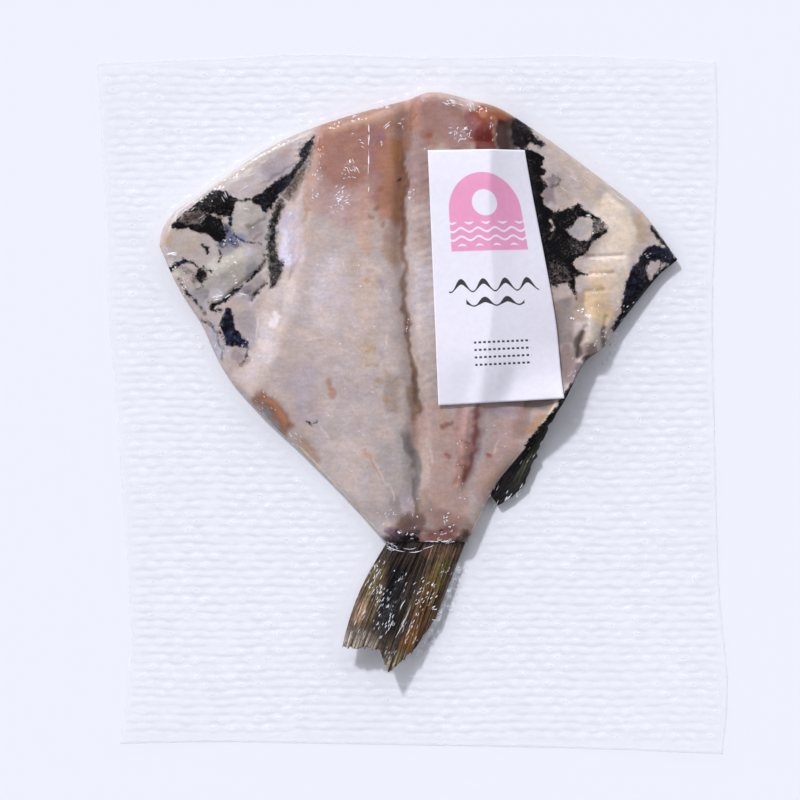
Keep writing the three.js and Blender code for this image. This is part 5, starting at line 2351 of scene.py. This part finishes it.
class HeightMap:
    """Heights over the table on a square grid, in millimetres."""

    LOW = (-129.0, -143.0)
    HIGH = (129.0, 143.0)
    PITCH = 0.75
    ABOVE = 0.2

    def __init__(self) -> None:
        """Start the map at the height of the pouch's lower film."""
        self.x = np.arange(self.LOW[0], self.HIGH[0], self.PITCH)
        self.y = np.arange(self.LOW[1], self.HIGH[1], self.PITCH)
        self.heights = np.zeros((self.y.size, self.x.size))

    def rest_on(self, pieces: Sequence[Piece]) -> None:
        """Raise the map to the upper side of some pieces.

        Args:
            pieces: the objects.
        """
        depsgraph = bpy.context.evaluated_depsgraph_get()
        down = Vector((0, 0, -1))
        for piece in pieces:
            tree = BVHTree.FromObject(piece, depsgraph)
            corners = np.array([tuple(corner) for corner in piece.bound_box]) / MM
            columns = np.flatnonzero((self.x > corners[:, 0].min()) & (self.x < corners[:, 0].max()))
            rows = np.flatnonzero((self.y > corners[:, 1].min()) & (self.y < corners[:, 1].max()))
            for row in rows:
                for column in columns:
                    hit = tree.ray_cast(Vector((self.x[column] * MM, self.y[row] * MM, self.ABOVE)), down)[0]
                    if hit is not None:
                        self.heights[row, column] = max(self.heights[row, column], hit.z / MM)

    def spread(self, steps: int) -> None:
        """Widen what stands up by some steps of the grid."""
        for _ in range(steps):
            for axis in (0, 1):
                moved = [np.roll(self.heights, shift, axis) for shift in (-1, 0, 1)]
                self.heights = np.maximum.reduce(moved)

    def draw_down(self, floor: Array, pull: float, rounds: int) -> None:
        """Lay a film over the map, drawn down by the vacuum.

        Args:
            floor: height of the film where nothing lifts it.
            pull: how hard it is drawn down.
            rounds: how many times it is relaxed.
        """
        held = np.maximum(self.heights, floor)
        film = held.copy()
        for _ in range(rounds):
            around = sum(np.roll(film, shift, axis) for shift in (-1, 1) for axis in (0, 1)) / 4
            film = np.maximum(held, around - pull)
        self.heights = film

    def at(self, x: Array, y: Array) -> Array:
        """Read heights between the grid's points.

        Args:
            x: millimetres to the right.
            y: millimetres towards the nape.

        Returns:
            Heights in millimetres.
        """
        across = np.clip((x - self.x[0]) / self.PITCH, 0, self.x.size - 1.001)
        up = np.clip((y - self.y[0]) / self.PITCH, 0, self.y.size - 1.001)
        left, low = across.astype(int), up.astype(int)
        below = blend(self.heights[low, left], self.heights[low, left + 1], across - left)
        above = blend(self.heights[low + 1, left], self.heights[low + 1, left + 1], across - left)
        return blend(below, above, up - low)


FILM_FOLDS = tuple(
    Fold("lump beside the tail", ((x, y), (x + 9, y + 6)), 2.6, 0.6)
    for x, y in zip(np.linspace(455, 408, 11), np.linspace(566, 656, 11))
)


@dataclass(frozen=True)
class GlintCluster:
    """A cluster of painted glints, drawn as small white creases in the film, in pixels of the photograph.

    Attributes:
        name: where it lies.
        centre: its middle.
        spread: how far it reaches to the sides and up and down.
        count: how many creases it has.
        length: length of a crease.
        angle: way that they run, in degrees from +X towards +Y.
        turn: how far they turn from that way, in degrees.
        width: width of a crease.
    """

    name: str
    centre: Point
    spread: Point
    count: int
    length: float
    angle: float
    turn: float
    width: float = 1.0


# Painted glints: clusters of small white creases on the film
GLINT_CLUSTERS = tuple(GlintCluster(*row) for row in (
    ("hatch on the upper fillet", (354, 169), (6, 7), 14, 6, 125, 12, 0.6),
    ("upper fillet", (349, 178), (7, 8), 12, 3, 160, 40, 0.9),
    ("upper fillet's foot", (343, 203), (5, 4), 6, 5.4, 25, 25, 1.4),
    ("upper fillet's foot", (341, 193), (4, 5), 5, 4, 60, 30, 1.0),
    ("below it", (337, 210), (8, 4), 7, 2.6, 30, 60, 0.9),
    ("by the line", (361, 146), (3, 4), 3, 4, 150, 16, 1.1),
    ("line on the fillet", (369, 132), (0.5, 3), 3, 7, 84, 14, 1.1),
    ("line on the fillet", (369, 142), (0.5, 2), 2, 10, 90, 8, 1.0),
    ("line on the fillet", (369, 160), (0.4, 4), 3, 15, 89, 3, 1.0),
    ("line on the fillet", (369, 172), (0.4, 2), 1, 12, 90, 3, 1.1),
    ("line on the fillet", (369, 190), (0.6, 5), 4, 4, 90, 16, 0.9),
    ("arc at the nape", (387, 128), (1.5, 1.5), 2, 10, 42, 8, 1.3),
    ("dashes below the arc", (382, 145), (1, 4), 3, 4, 66, 16, 1.5),
    ("seam", (321, 160), (3, 22), 12, 2.4, 80, 30, 0.9),
    ("seam", (315, 186), (2, 12), 5, 3, 80, 20, 1.1),
    ("seam's foot", (316, 197), (3, 3), 3, 3, 160, 30, 1.3),
    ("nape rim", (338, 125), (3, 2), 2, 3, 110, 20, 1.4),
    ("nape rim", (387, 109), (2, 1), 3, 3, 20, 30, 1.2),
    ("left of the groove", (402, 124), (3, 8), 8, 2.6, 70, 50, 0.9),
    ("right of the groove", (450, 105), (8, 2), 5, 7, 164, 16, 1.4),
    ("by the rust", (474, 111), (6, 4), 9, 2.6, 120, 60, 1.0),
    ("above the label", (461, 136), (12, 7), 14, 4, 20, 50, 1.2),
    ("strip", (411, 197), (3, 6), 9, 3, 50, 60, 0.9),
    ("groove", (407, 324), (1.5, 8), 5, 2.4, 80, 40, 0.9),
    ("left flap", (190, 212), (14, 12), 6, 9, 37, 5, 0.7),
    ("left flap's rim", (240, 172), (34, 18), 9, 11, 31, 4, 0.7),
    ("wedge", (226, 197), (3, 5), 4, 8, 116, 6, 0.6),
    ("round lump", (249, 210), (3, 2), 3, 3, 50, 20, 1.3),
    ("round lump", (254, 229), (1, 1), 1, 3, 50, 20, 1.3),
    ("left highlight", (173, 255), (3, 1), 5, 6, 172, 8, 2.2),
    ("lower lump", (237, 263), (1, 1), 2, 4.6, 140, 10, 1.4),
    ("lower lump", (236, 282), (2, 2), 2, 4, 40, 16, 1.2),
    ("fold lip", (222, 298), (7, 2), 6, 6, 22, 14, 1.3),
    ("right of the lip", (242, 296), (4, 1.6), 4, 6, 172, 10, 1.4),
    ("pale tissue", (290, 250), (3, 20), 7, 4, 74, 20, 0.9),
    ("pale tissue", (292, 213), (2, 6), 3, 3, 74, 20, 1.1),
    ("curl", (188, 280), (5, 7), 6, 3.4, 70, 40, 1.1),
    ("blue tissue", (232, 243), (8, 3.4), 12, 2.2, 30, 60, 0.9),
    ("fillet", (345, 300), (30, 60), 14, 2.2, 20, 50, 1.0),
    ("low fillet", (350, 420), (30, 56), 12, 2.2, 150, 40, 0.8),
    ("ridge", (462, 470), (5, 40), 12, 2.2, 60, 60, 0.9),
    ("tail root", (446, 518), (15, 10), 12, 2.8, 70, 50, 1.0),
    ("root dashes", (391, 546), (6, 4), 16, 3, 150, 20, 0.6),
    ("bulge of the root", (410, 535), (4, 3), 8, 3, 20, 40, 0.9),
    ("right root", (440, 541), (14, 2), 8, 5, 8, 16, 0.9),
    ("left edge of the tail", (380, 568), (6, 9), 13, 4, 62, 10, 0.7),
    ("left lobe", (372, 608), (6, 20), 8, 4, 64, 6, 0.55),
    ("middle of the tail", (387, 612), (8, 24), 20, 4.4, 61, 9, 0.8),
    ("middle of the tail", (402, 580), (4, 10), 6, 4, 66, 8, 0.7),
    ("long glint", (402, 604), (0.4, 0.4), 1, 18, 63, 2, 1.7),
    ("line of the right lobe", (404, 621), (0.4, 0.4), 1, 40, 63, 1, 0.8),
    ("right lobe", (430, 588), (7, 9), 11, 3.4, 44, 14, 1.0),
    ("right lobe", (420, 606), (5, 8), 8, 4, 62, 10, 0.8),
    ("amber of the tail", (415, 630), (5, 10), 4, 3.4, 62, 10, 0.9),
    ("tail end", (392, 650), (7, 8), 4, 3, 60, 20, 0.6),
    ("beside the tail", (438, 612), (5, 12), 7, 4, 20, 30, 1.0),
    ("fin's rim", (520, 492), (5, 8), 5, 5, 58, 12, 0.8),
    ("fin", (528, 466), (10, 18), 5, 5, 57, 6, 0.5),
    ("right flap", (600, 259), (10, 2), 8, 4, 6, 10, 1.1),
    ("right flap", (596, 276), (8, 2), 8, 4, 10, 16, 1.2),
    ("right flap", (592, 292), (6, 2), 5, 3, 60, 30, 1.1),
    ("right flap", (594, 308), (4, 4), 4, 2.6, 60, 30, 1.0),
    ("right flap's upper part", (612, 232), (14, 20), 8, 3, 78, 16, 0.7),
    ("right flap's rim", (590, 182), (34, 26), 9, 9, 142, 4, 0.7),
    ("island", (586, 217), (3, 1.4), 4, 4, 10, 16, 1.4),
    ("stub", (591, 345), (6, 8), 9, 2.6, 70, 40, 0.9),
    ("below the stub", (575, 372), (5, 14), 6, 2.6, 60, 30, 0.9),
    ("right lower flesh", (500, 440), (24, 24), 6, 2.4, 60, 50, 0.7),
    ("rim of the nape", (345, 121), (14, 4), 8, 4, 18, 10, 0.9),
    ("rim of the nape", (385, 108), (12, 3), 8, 4, 16, 10, 0.9),
    ("nape", (454, 106), (8, 2.5), 8, 5, 160, 14, 1.1),
    ("nape", (470, 108), (3, 3), 5, 3, 120, 30, 1.0),
    ("rust", (482, 113), (5, 3), 7, 2.6, 80, 60, 1.0),
    ("tendons", (493, 131), (4, 12), 8, 3, 80, 30, 0.7),
    ("above the label", (463, 139), (9, 6), 12, 3.2, 30, 60, 1.0),
    ("fillet's foot", (342, 200), (8, 7), 14, 3, 30, 50, 0.9),
    ("left rim", (172, 262), (5, 12), 12, 4, 110, 20, 1.0),
    ("left rim", (184, 290), (6, 10), 10, 3.6, 130, 16, 0.9),
    ("lower lump", (222, 268), (16, 10), 12, 3.2, 30, 40, 0.7),
    ("lower flap", (214, 292), (12, 8), 8, 3, 30, 40, 0.7),
    ("grey skin", (222, 345), (10, 12), 12, 3, 60, 30, 0.7),
    ("end of the flap", (252, 352), (10, 14), 8, 3, 60, 30, 0.7),
    ("edge of the tip", (626, 312), (14, 10), 16, 3, 48, 20, 0.7),
    ("below the tip", (606, 338), (6, 8), 8, 3, 60, 40, 0.8),
    ("tip", (656, 266), (12, 12), 14, 3, 50, 30, 0.6),
    ("left corner", (268, 402), (12, 10), 10, 3, 130, 20, 0.7),
    ("left low edge", (296, 440), (10, 10), 10, 4, 132, 8, 0.6),
    ("left low edge", (350, 505), (16, 14), 8, 4, 132, 8, 0.6),
    ("fin's rim", (512, 497), (7, 7), 12, 4, 58, 12, 0.8),
    ("edge by the fin", (492, 496), (6, 10), 7, 5, 60, 8, 0.6),
    ("above the root", (386, 516), (10, 9), 10, 2.6, 60, 50, 0.8),
    ("above the root", (412, 508), (8, 12), 8, 2.4, 60, 50, 0.8),
    ("right of the root", (444, 536), (12, 6), 12, 3, 20, 40, 0.7),
    ("left of the tail", (376, 580), (8, 16), 22, 4, 62, 8, 0.7),
    ("left lobe", (358, 620), (8, 16), 20, 7, 63, 5, 0.46),
    ("middle of the tail", (384, 606), (8, 22), 30, 4, 62, 8, 0.75),
    ("right lobe", (424, 590), (10, 14), 20, 3.4, 50, 20, 0.9),
    ("right lobe", (410, 630), (8, 14), 18, 4, 62, 8, 0.7),
    ("tail end", (390, 655), (6, 8), 10, 4, 62, 10, 0.45),
    ("right edge of the tail", (446, 575), (6, 12), 8, 3, 60, 20, 0.6),
    ("bubbles by the tail", (460, 574), (2, 9), 9, 3.4, 60, 70, 1.1),
    ("bubbles by the tail", (451, 601), (3, 12), 12, 3.4, 60, 70, 1.2),
    ("bubbles by the tail", (436, 632), (4, 13), 14, 4, 60, 70, 1.2),
))
GLINT_LINES = (
    (0.3, ((386, 545), (390, 547), (394, 548.6), (398, 549.8), (402, 550.6), (405, 551))),
    (0.34, ((409, 551.4), (412, 551.6), (415, 551.4), (418, 550.8), (420, 550.2), (422, 549.4))),
    (0.26, ((403, 547), (406, 548), (409, 548.4), (412, 548.2), (414, 547.6), (416, 546.6))),
    (0.24, ((387, 540), (389, 542), (391, 543.4), (394, 544.8), (396, 545.6), (398, 546.4))),
    (0.3, ((423, 548), (425, 547.4), (428, 546.6), (430, 546), (432, 545.2), (434, 544.2))),
    (0.28, ((424, 540.6), (427, 540.2), (430, 540.2), (433, 540.4), (436, 540.6), (438, 541))),
)


@dataclass(frozen=True)
class Gleam:
    """A place where the clinging film is puckered and gleams, in pixels of the photograph.

    Attributes:
        name: where it lies.
        centre: its middle.
        spread: how far it reaches to the sides and up and down.
        amount: how strongly it is puckered.
    """

    name: str
    centre: Point
    spread: Point
    amount: float

    def at(self, x: Array, y: Array) -> Array:
        """Give its amount at points in pixels."""
        aside, down = (x - self.centre[0]) / self.spread[0], (y - self.centre[1]) / self.spread[1]
        return self.amount * np.exp(-aside * aside - down * down)


GLEAMS = tuple(Gleam(*row) for row in (
    ("upper fillet", (352, 172), (12, 14), 1.5),
    ("upper fillet's foot", (342, 204), (10, 8), 1.7),
    ("seam", (318, 170), (5, 34), 1.1),
    ("nape", (452, 107), (16, 5), 1.4),
    ("above the label", (462, 132), (14, 12), 1.5),
    ("rust", (486, 118), (16, 12), 1.2),
    ("strip", (412, 198), (5, 12), 1.3),
    ("tail", (398, 600), (36, 50), 1.5),
    ("tail root", (430, 535), (36, 14), 1.6),
    ("left side", (176, 262), (14, 18), 1.4),
    ("lumps", (238, 248), (26, 40), 1.0),
    ("pale tissue", (291, 240), (8, 40), 1.2),
    ("right flap", (598, 270), (20, 32), 1.4),
    ("stub", (588, 345), (14, 22), 1.4),
    ("anal fin", (524, 476), (20, 24), 1.2),
))
BLISTERS = (
    (196, 125), (300, 122), (197, 337), (200, 347), (200, 451), (298, 482), (597, 431), (590, 520),
    (695, 578), (615, 335), (612, 352), (603, 363), (612, 344), (608, 358), (560, 470), (548, 505),
    (250, 470), (268, 505), (330, 560), (640, 330), (660, 300), (150, 300), (170, 330), (640, 420),
    (520, 90), (560, 110), (610, 150), (240, 130), (458, 571), (455, 579), (448, 590), (446, 603),
    (440, 611), (438, 618), (431, 630), (424, 643), (418, 652),
)


@dataclass
class VacuumPouch:
    """The sealed pouch: a flat film under the fish and an embossed one drawn down over it."""

    columns: int = 228
    rows: int = 392
    seed: int = 53

    STRIDE = 4
    SIZE = 250
    GAP = 0.25
    FLOOR = 0.04
    SEAL = 0.18
    SEALED = (0, 6)
    MARGIN = 0.5
    PULL = 0.6
    ROUNDS = 120
    EMBOSS_DEPTH = 0.00024
    EMBOSS_SPREAD = 2
    EMBOSSED = (1, 5)
    CLUNG_EMBOSS = 0.3
    CLEAR = 0.009
    HAZY = 0.11
    EDGE_HAZE = 0.3
    EDGE = (0.5, 1.3)
    BUBBLE_HAZE = 0.38
    BUBBLED = ((461, 568), (452, 596), (441, 622), (422, 652))
    BUBBLE_REACH = (3, 9)
    BUBBLE_SIZE = 5
    BUBBLE_LEVEL = 0.75
    BUBBLE_SWING = 0.5
    CLING_STEPS = (2, 4, 6, 8)
    GLEAM = 0.5
    CREASE_POINTS = 6
    CREASE_SIDES = 6
    CREASE_BEND = 2.4
    CREASE_LENGTHS = (0.6, 1.2)
    CREASE_WIDTHS = (0.4, 1.1)
    CREASE_SHARE = 0.42
    CREASE_BLUNT = 1.05
    # White share of the painted glints
    GLINT_WHITE = 0.9
    CREASE_RISE = 0.04
    BLISTER_RISE = 0.02
    BLISTER_SIZES = (0.6, 1.1)
    # White share of the blisters' painted sheen
    BLISTER_WHITE = 0.3

    def build(self, groups: SharedGroups, contents: Sequence[Piece]) -> list[Piece]:
        """Build and dress the pouch, its painted glints on small creases and its blisters.

        Args:
            groups: the shared shader groups.
            contents: what lies in the pouch.

        Returns:
            The objects.
        """
        cover = HeightMap()
        cover.rest_on(contents)
        cover.spread(1)
        cover.heights[cover.heights > 0] += self.GAP
        grid_x, grid_y = np.meshgrid(cover.x, cover.y)
        stands = cover.heights > 0
        cover.draw_down(bed_at(grid_x, grid_y) + self.MARGIN, self.PULL, self.ROUNDS)
        film = self.build_film(groups, cover, stands)
        return [film, self.build_glints(groups, cover), self.build_blisters(groups, cover)]

    def build_film(self, groups: SharedGroups, cover: HeightMap, stands: Array) -> Piece:
        """Build the two films in one, the front one embossed.

        Args:
            groups: the shared shader groups.
            cover: the front film's heights.
            stands: True on the map where something lies under the front film.

        Returns:
            The object.
        """
        u, v = np.meshgrid(np.linspace(0, 1, self.columns + 1), np.linspace(0, 1, self.rows + 1))
        place = patch(POUCH_LEFT, POUCH_RIGHT, POUCH_LOW, POUCH_HIGH, u, v)
        x, y = place[..., 0], place[..., 1]
        inset = np.minimum.reduce([u, 1 - u, v, 1 - v]) * self.SIZE
        bed = bed_at(x, y)
        front = np.maximum(cover.at(x, y), bed + self.SEAL)
        front = blend(bed + self.SEAL, front, ease(inset, *self.SEALED))
        front = front + folds_at(FILM_FOLDS, *to_pixels(x, y))
        top, bottom = np.dstack([place, front]), np.dstack([place, bed + self.FLOOR])
        piece = Slab("pouch_film", top, bottom, self.STRIDE).build()
        over = self.share_over(stands, self.EMBOSS_SPREAD, x, y)
        emboss = np.zeros(len(piece.data.vertices))
        emboss[:x.size] = (blend(1, self.CLUNG_EMBOSS, over) * ease(inset, *self.EMBOSSED)).ravel()
        set_values(piece, "emboss", emboss)
        ribs = {"Pitch": RIB_PITCH, "Depth": self.EMBOSS_DEPTH, "Waver": RIB_WAVER}
        node_modifier(piece, emboss_tree(), {**ribs, "Material": FilmFinish().build(groups)})
        self.mark(piece, stands, x.ravel(), y.ravel(), inset.ravel())
        dress(piece, Slot.FILM, Node.FILM)
        return piece

    def share_over(self, stands: Array, steps: int, x: Array, y: Array) -> Array:
        """Tell where the film lies over something, widened by some steps of the map.

        Args:
            stands: True on the map where something lies under the front film.
            steps: steps of the map by which it is widened.
            x: millimetres to the right.
            y: millimetres towards the nape.

        Returns:
            Shares from 0 to 1.
        """
        over = HeightMap()
        over.heights = np.where(stands, 1.0, 0.0)
        over.spread(steps)
        return over.at(x, y)

    def mark(self, piece: Piece, stands: Array, x: Array, y: Array, inset: Array) -> None:
        """Store how the film clings, how milky it is and how it gleams.

        Args:
            piece: the film, its front film's vertices first.
            stands: True on the map where something lies under the front film.
            x: millimetres to the right of the front film's vertices.
            y: millimetres towards the nape.
            inset: about how many millimetres they lie from the border.
        """
        steps = self.CLING_STEPS
        cling = sum(self.share_over(stands, step, x, y) / len(steps) for step in steps)
        haze = blend(self.HAZY, self.CLEAR, cling)
        haze = np.maximum(haze, self.EDGE_HAZE * (1 - ease(inset, *self.EDGE)))
        px, py = to_pixels(x, y)
        bubbled = 1 - ease(distance_to_path(px, py, self.BUBBLED), *self.BUBBLE_REACH)
        uneven = self.BUBBLE_LEVEL + self.BUBBLE_SWING * Noise(self.seed).at(px, py, self.BUBBLE_SIZE)
        haze = np.maximum(haze, self.BUBBLE_HAZE * bubbled * uneven)
        puckers = np.maximum.reduce([np.full(x.size, self.GLEAM), *(spot.at(px, py) for spot in GLEAMS)])
        marks = (("haze", haze, self.CLEAR), ("cling", cling, 0.0), ("gleam", cling * puckers, 0.0))
        for name, front, back in marks:
            values = np.full(len(piece.data.vertices), back)
            values[:x.size] = front
            set_values(piece, name, values)

    def build_glints(self, groups: SharedGroups, cover: HeightMap) -> Piece:
        """Build the painted glints: small white creases on the front film.

        Args:
            groups: the shared shader groups.
            cover: the front film's heights.

        Returns:
            The object.
        """
        rng = np.random.default_rng(self.seed)
        steps = np.linspace(-0.5, 0.5, self.CREASE_POINTS)
        spindle = np.sqrt(self.CREASE_BLUNT - 4 * steps * steps)
        paths, sizes = [], []
        for cluster in GLINT_CLUSTERS:
            for _ in range(cluster.count):
                middle = np.array(cluster.centre) + rng.uniform(-1, 1, 2) * cluster.spread
                turned = np.radians(cluster.angle + cluster.turn * rng.uniform(-1, 1))
                sway = rng.normal(0, self.CREASE_BEND)
                way = turned + steps * sway / max(cluster.length, self.CREASE_BEND)
                length = cluster.length * rng.uniform(*self.CREASE_LENGTHS)
                paths.append(middle + length * np.stack([steps * np.cos(way), -steps * np.sin(way)], -1))
                width = self.CREASE_SHARE * PIXEL * cluster.width * rng.uniform(*self.CREASE_WIDTHS)
                sizes.append(width * spindle)
        for width, path in GLINT_LINES:
            paths.append(np.array(path, float))
            sizes.append(PIXEL * width * spindle)
        points = self.points_on(cover, np.array(paths).reshape(-1, 2), self.CREASE_RISE)
        piece = new_piece("film_glints", points, [], chain_edges(len(paths), self.CREASE_POINTS))
        set_values(piece, "radius", np.concatenate(sizes) * MM)
        # Painted glints: the crease tubes get white film
        film = PaintedGlintFilm("glint_film", self.GLINT_WHITE).build(groups)
        node_modifier(piece, ray_tree(), {"Sides": self.CREASE_SIDES, "Material": film})
        piece.data.shade_smooth()
        dress(piece, Slot.FILM, None)
        return piece

    def build_blisters(self, groups: SharedGroups, cover: HeightMap) -> Piece:
        """Build the small blisters of air under the front film.

        Args:
            groups: the shared shader groups.
            cover: the front film's heights.

        Returns:
            The object.
        """
        points = self.points_on(cover, np.array(BLISTERS, float), self.BLISTER_RISE)
        piece = new_piece("film_blisters", points, [])
        sizes = np.random.default_rng(self.seed).uniform(*self.BLISTER_SIZES, len(BLISTERS))
        set_values(piece, "radius", sizes * MM)
        # Painted sheen: the blisters get white film
        film = PaintedGlintFilm("blister_film", self.BLISTER_WHITE).build(groups)
        node_modifier(piece, blister_tree(), {"Seed": self.seed, "Material": film})
        dress(piece, Slot.FILM, None)
        return piece

    def points_on(self, cover: HeightMap, spots: Array, rise: float) -> Array:
        """Set spots of the photograph on the front film.

        Args:
            cover: the front film's heights.
            spots: pixels across and down.
            rise: millimetres over the film.

        Returns:
            Points in millimetres.
        """
        x, y = from_pixels(spots[:, 0], spots[:, 1])
        return np.stack([x, y, cover.at(x, y) + rise], -1)


@dataclass
class Studio:
    """Floor, light and camera."""

    floor_reach: float = 1500.0
    floor_level: float = -0.2
    floor_colour: tuple = (0.9, 0.9, 0.89, 1.0)
    floor_roughness: float = 0.8
    floor_specular: float = 0.1
    camera_height: float = 1.3
    frame_width: float = 0.32
    sensor_width: float = 36.0
    sight: float = 20.0
    centre: Point = (-0.005, 0.0014)
    key_direction: tuple = (-0.38, 0.66, 0.65)
    key_angle: float = 5.0
    key_strength: float = 2.1
    zenith: float = 0.08
    side: float = 1.05
    sky_heights: Point = (0.66, 0.93)
    softbox_way: tuple = (-0.5, 0.86, 0.0)
    softbox_levels: Point = (0.35, 1.65)
    tint: Colour = (0.853, 0.871, 1.0)

    def build(self) -> None:
        """Build the studio."""
        self.build_floor()
        self.build_light()
        self.build_sky()
        self.build_camera()
        scene = bpy.context.scene
        scene.view_settings.view_transform = "Standard"
        scene.view_settings.look = "None"

    def build_floor(self) -> None:
        """Build the pale floor."""
        signs = np.array([(-1, -1), (1, -1), (1, 1), (-1, 1)], float)
        corners = np.column_stack([signs * self.floor_reach, np.full(len(signs), self.floor_level)])
        floor = new_piece("floor", corners, [[0, 1, 2, 3]])
        material, nodes, shader = new_material("floor")
        nodes.feed(shader, {
            "Base Color": self.floor_colour,
            "Roughness": self.floor_roughness,
            "Specular IOR Level": self.floor_specular,
        })
        floor.data.materials.append(material)

    def build_light(self) -> None:
        """Build the main light, as even as a far softbox gives it."""
        light = bpy.data.lights.new("key", "SUN")
        light.angle = np.radians(self.key_angle)
        light.energy = self.key_strength
        light.color = self.tint
        lamp = bpy.data.objects.new("key", light)
        direction = Vector(self.key_direction).normalized()
        lamp.location = direction
        lamp.rotation_euler = direction.to_track_quat("Z", "Y").to_euler()
        bpy.context.scene.collection.objects.link(lamp)

    def build_sky(self) -> None:
        """Build the soft light from all sides, brightest towards the softbox and weak from straight above."""
        world = bpy.data.worlds.new("studio")
        world.use_nodes = True
        nodes = Nodes(world.node_tree)
        way = nodes.add("ShaderNodeTexCoord").outputs["Generated"]
        turned = nodes.add("ShaderNodeVectorMath", {0: way, 1: self.softbox_way}, operation="DOT_PRODUCT")
        around = nodes.ramp(turned.outputs["Value"], -1.0, 1.0, *self.softbox_levels)
        above = nodes.ramp(nodes.split(way)[2], *self.sky_heights, self.side, self.zenith)
        background = world.node_tree.nodes["Background"]
        nodes.feed(background, {"Color": (*self.tint, 1.0), "Strength": nodes.times(above, around)})
        bpy.context.scene.world = world

    def build_camera(self) -> None:
        """Build the camera, which looks straight down."""
        camera = bpy.data.cameras.new("camera")
        camera.sensor_width = self.sensor_width
        camera.lens = self.sensor_width * self.camera_height / self.frame_width
        camera.clip_end = self.sight
        eye = bpy.data.objects.new("camera", camera)
        eye.location = (*self.centre, self.camera_height)
        bpy.context.scene.collection.objects.link(eye)
        bpy.context.scene.camera = eye


def main() -> None:
    """Build every piece in order."""
    logging.basicConfig(level=logging.INFO, format="%(name)s %(message)s")
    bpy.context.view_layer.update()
    groups = SharedGroups(mottle_group(), ragged_group(), moist_group())
    Studio().build()
    contents = [OpenedFish().build(groups)]
    tail = TailFin(name="tail", rays=34, columns=200, rows=80, ray_radius=0.3)
    contents += tail.build(groups, FinFinish(name="tail_skin", streaks=96.0))
    fin = AnalFin(name="anal_fin", rays=7, columns=40, rows=80, ray_radius=0.28)
    contents += fin.build(groups, FinFinish(name="fin_skin", streaks=40.0))
    contents.append(PaperLabel().build(groups))
    VacuumPouch().build(groups, contents)


if __name__ == "__main__":
    main()
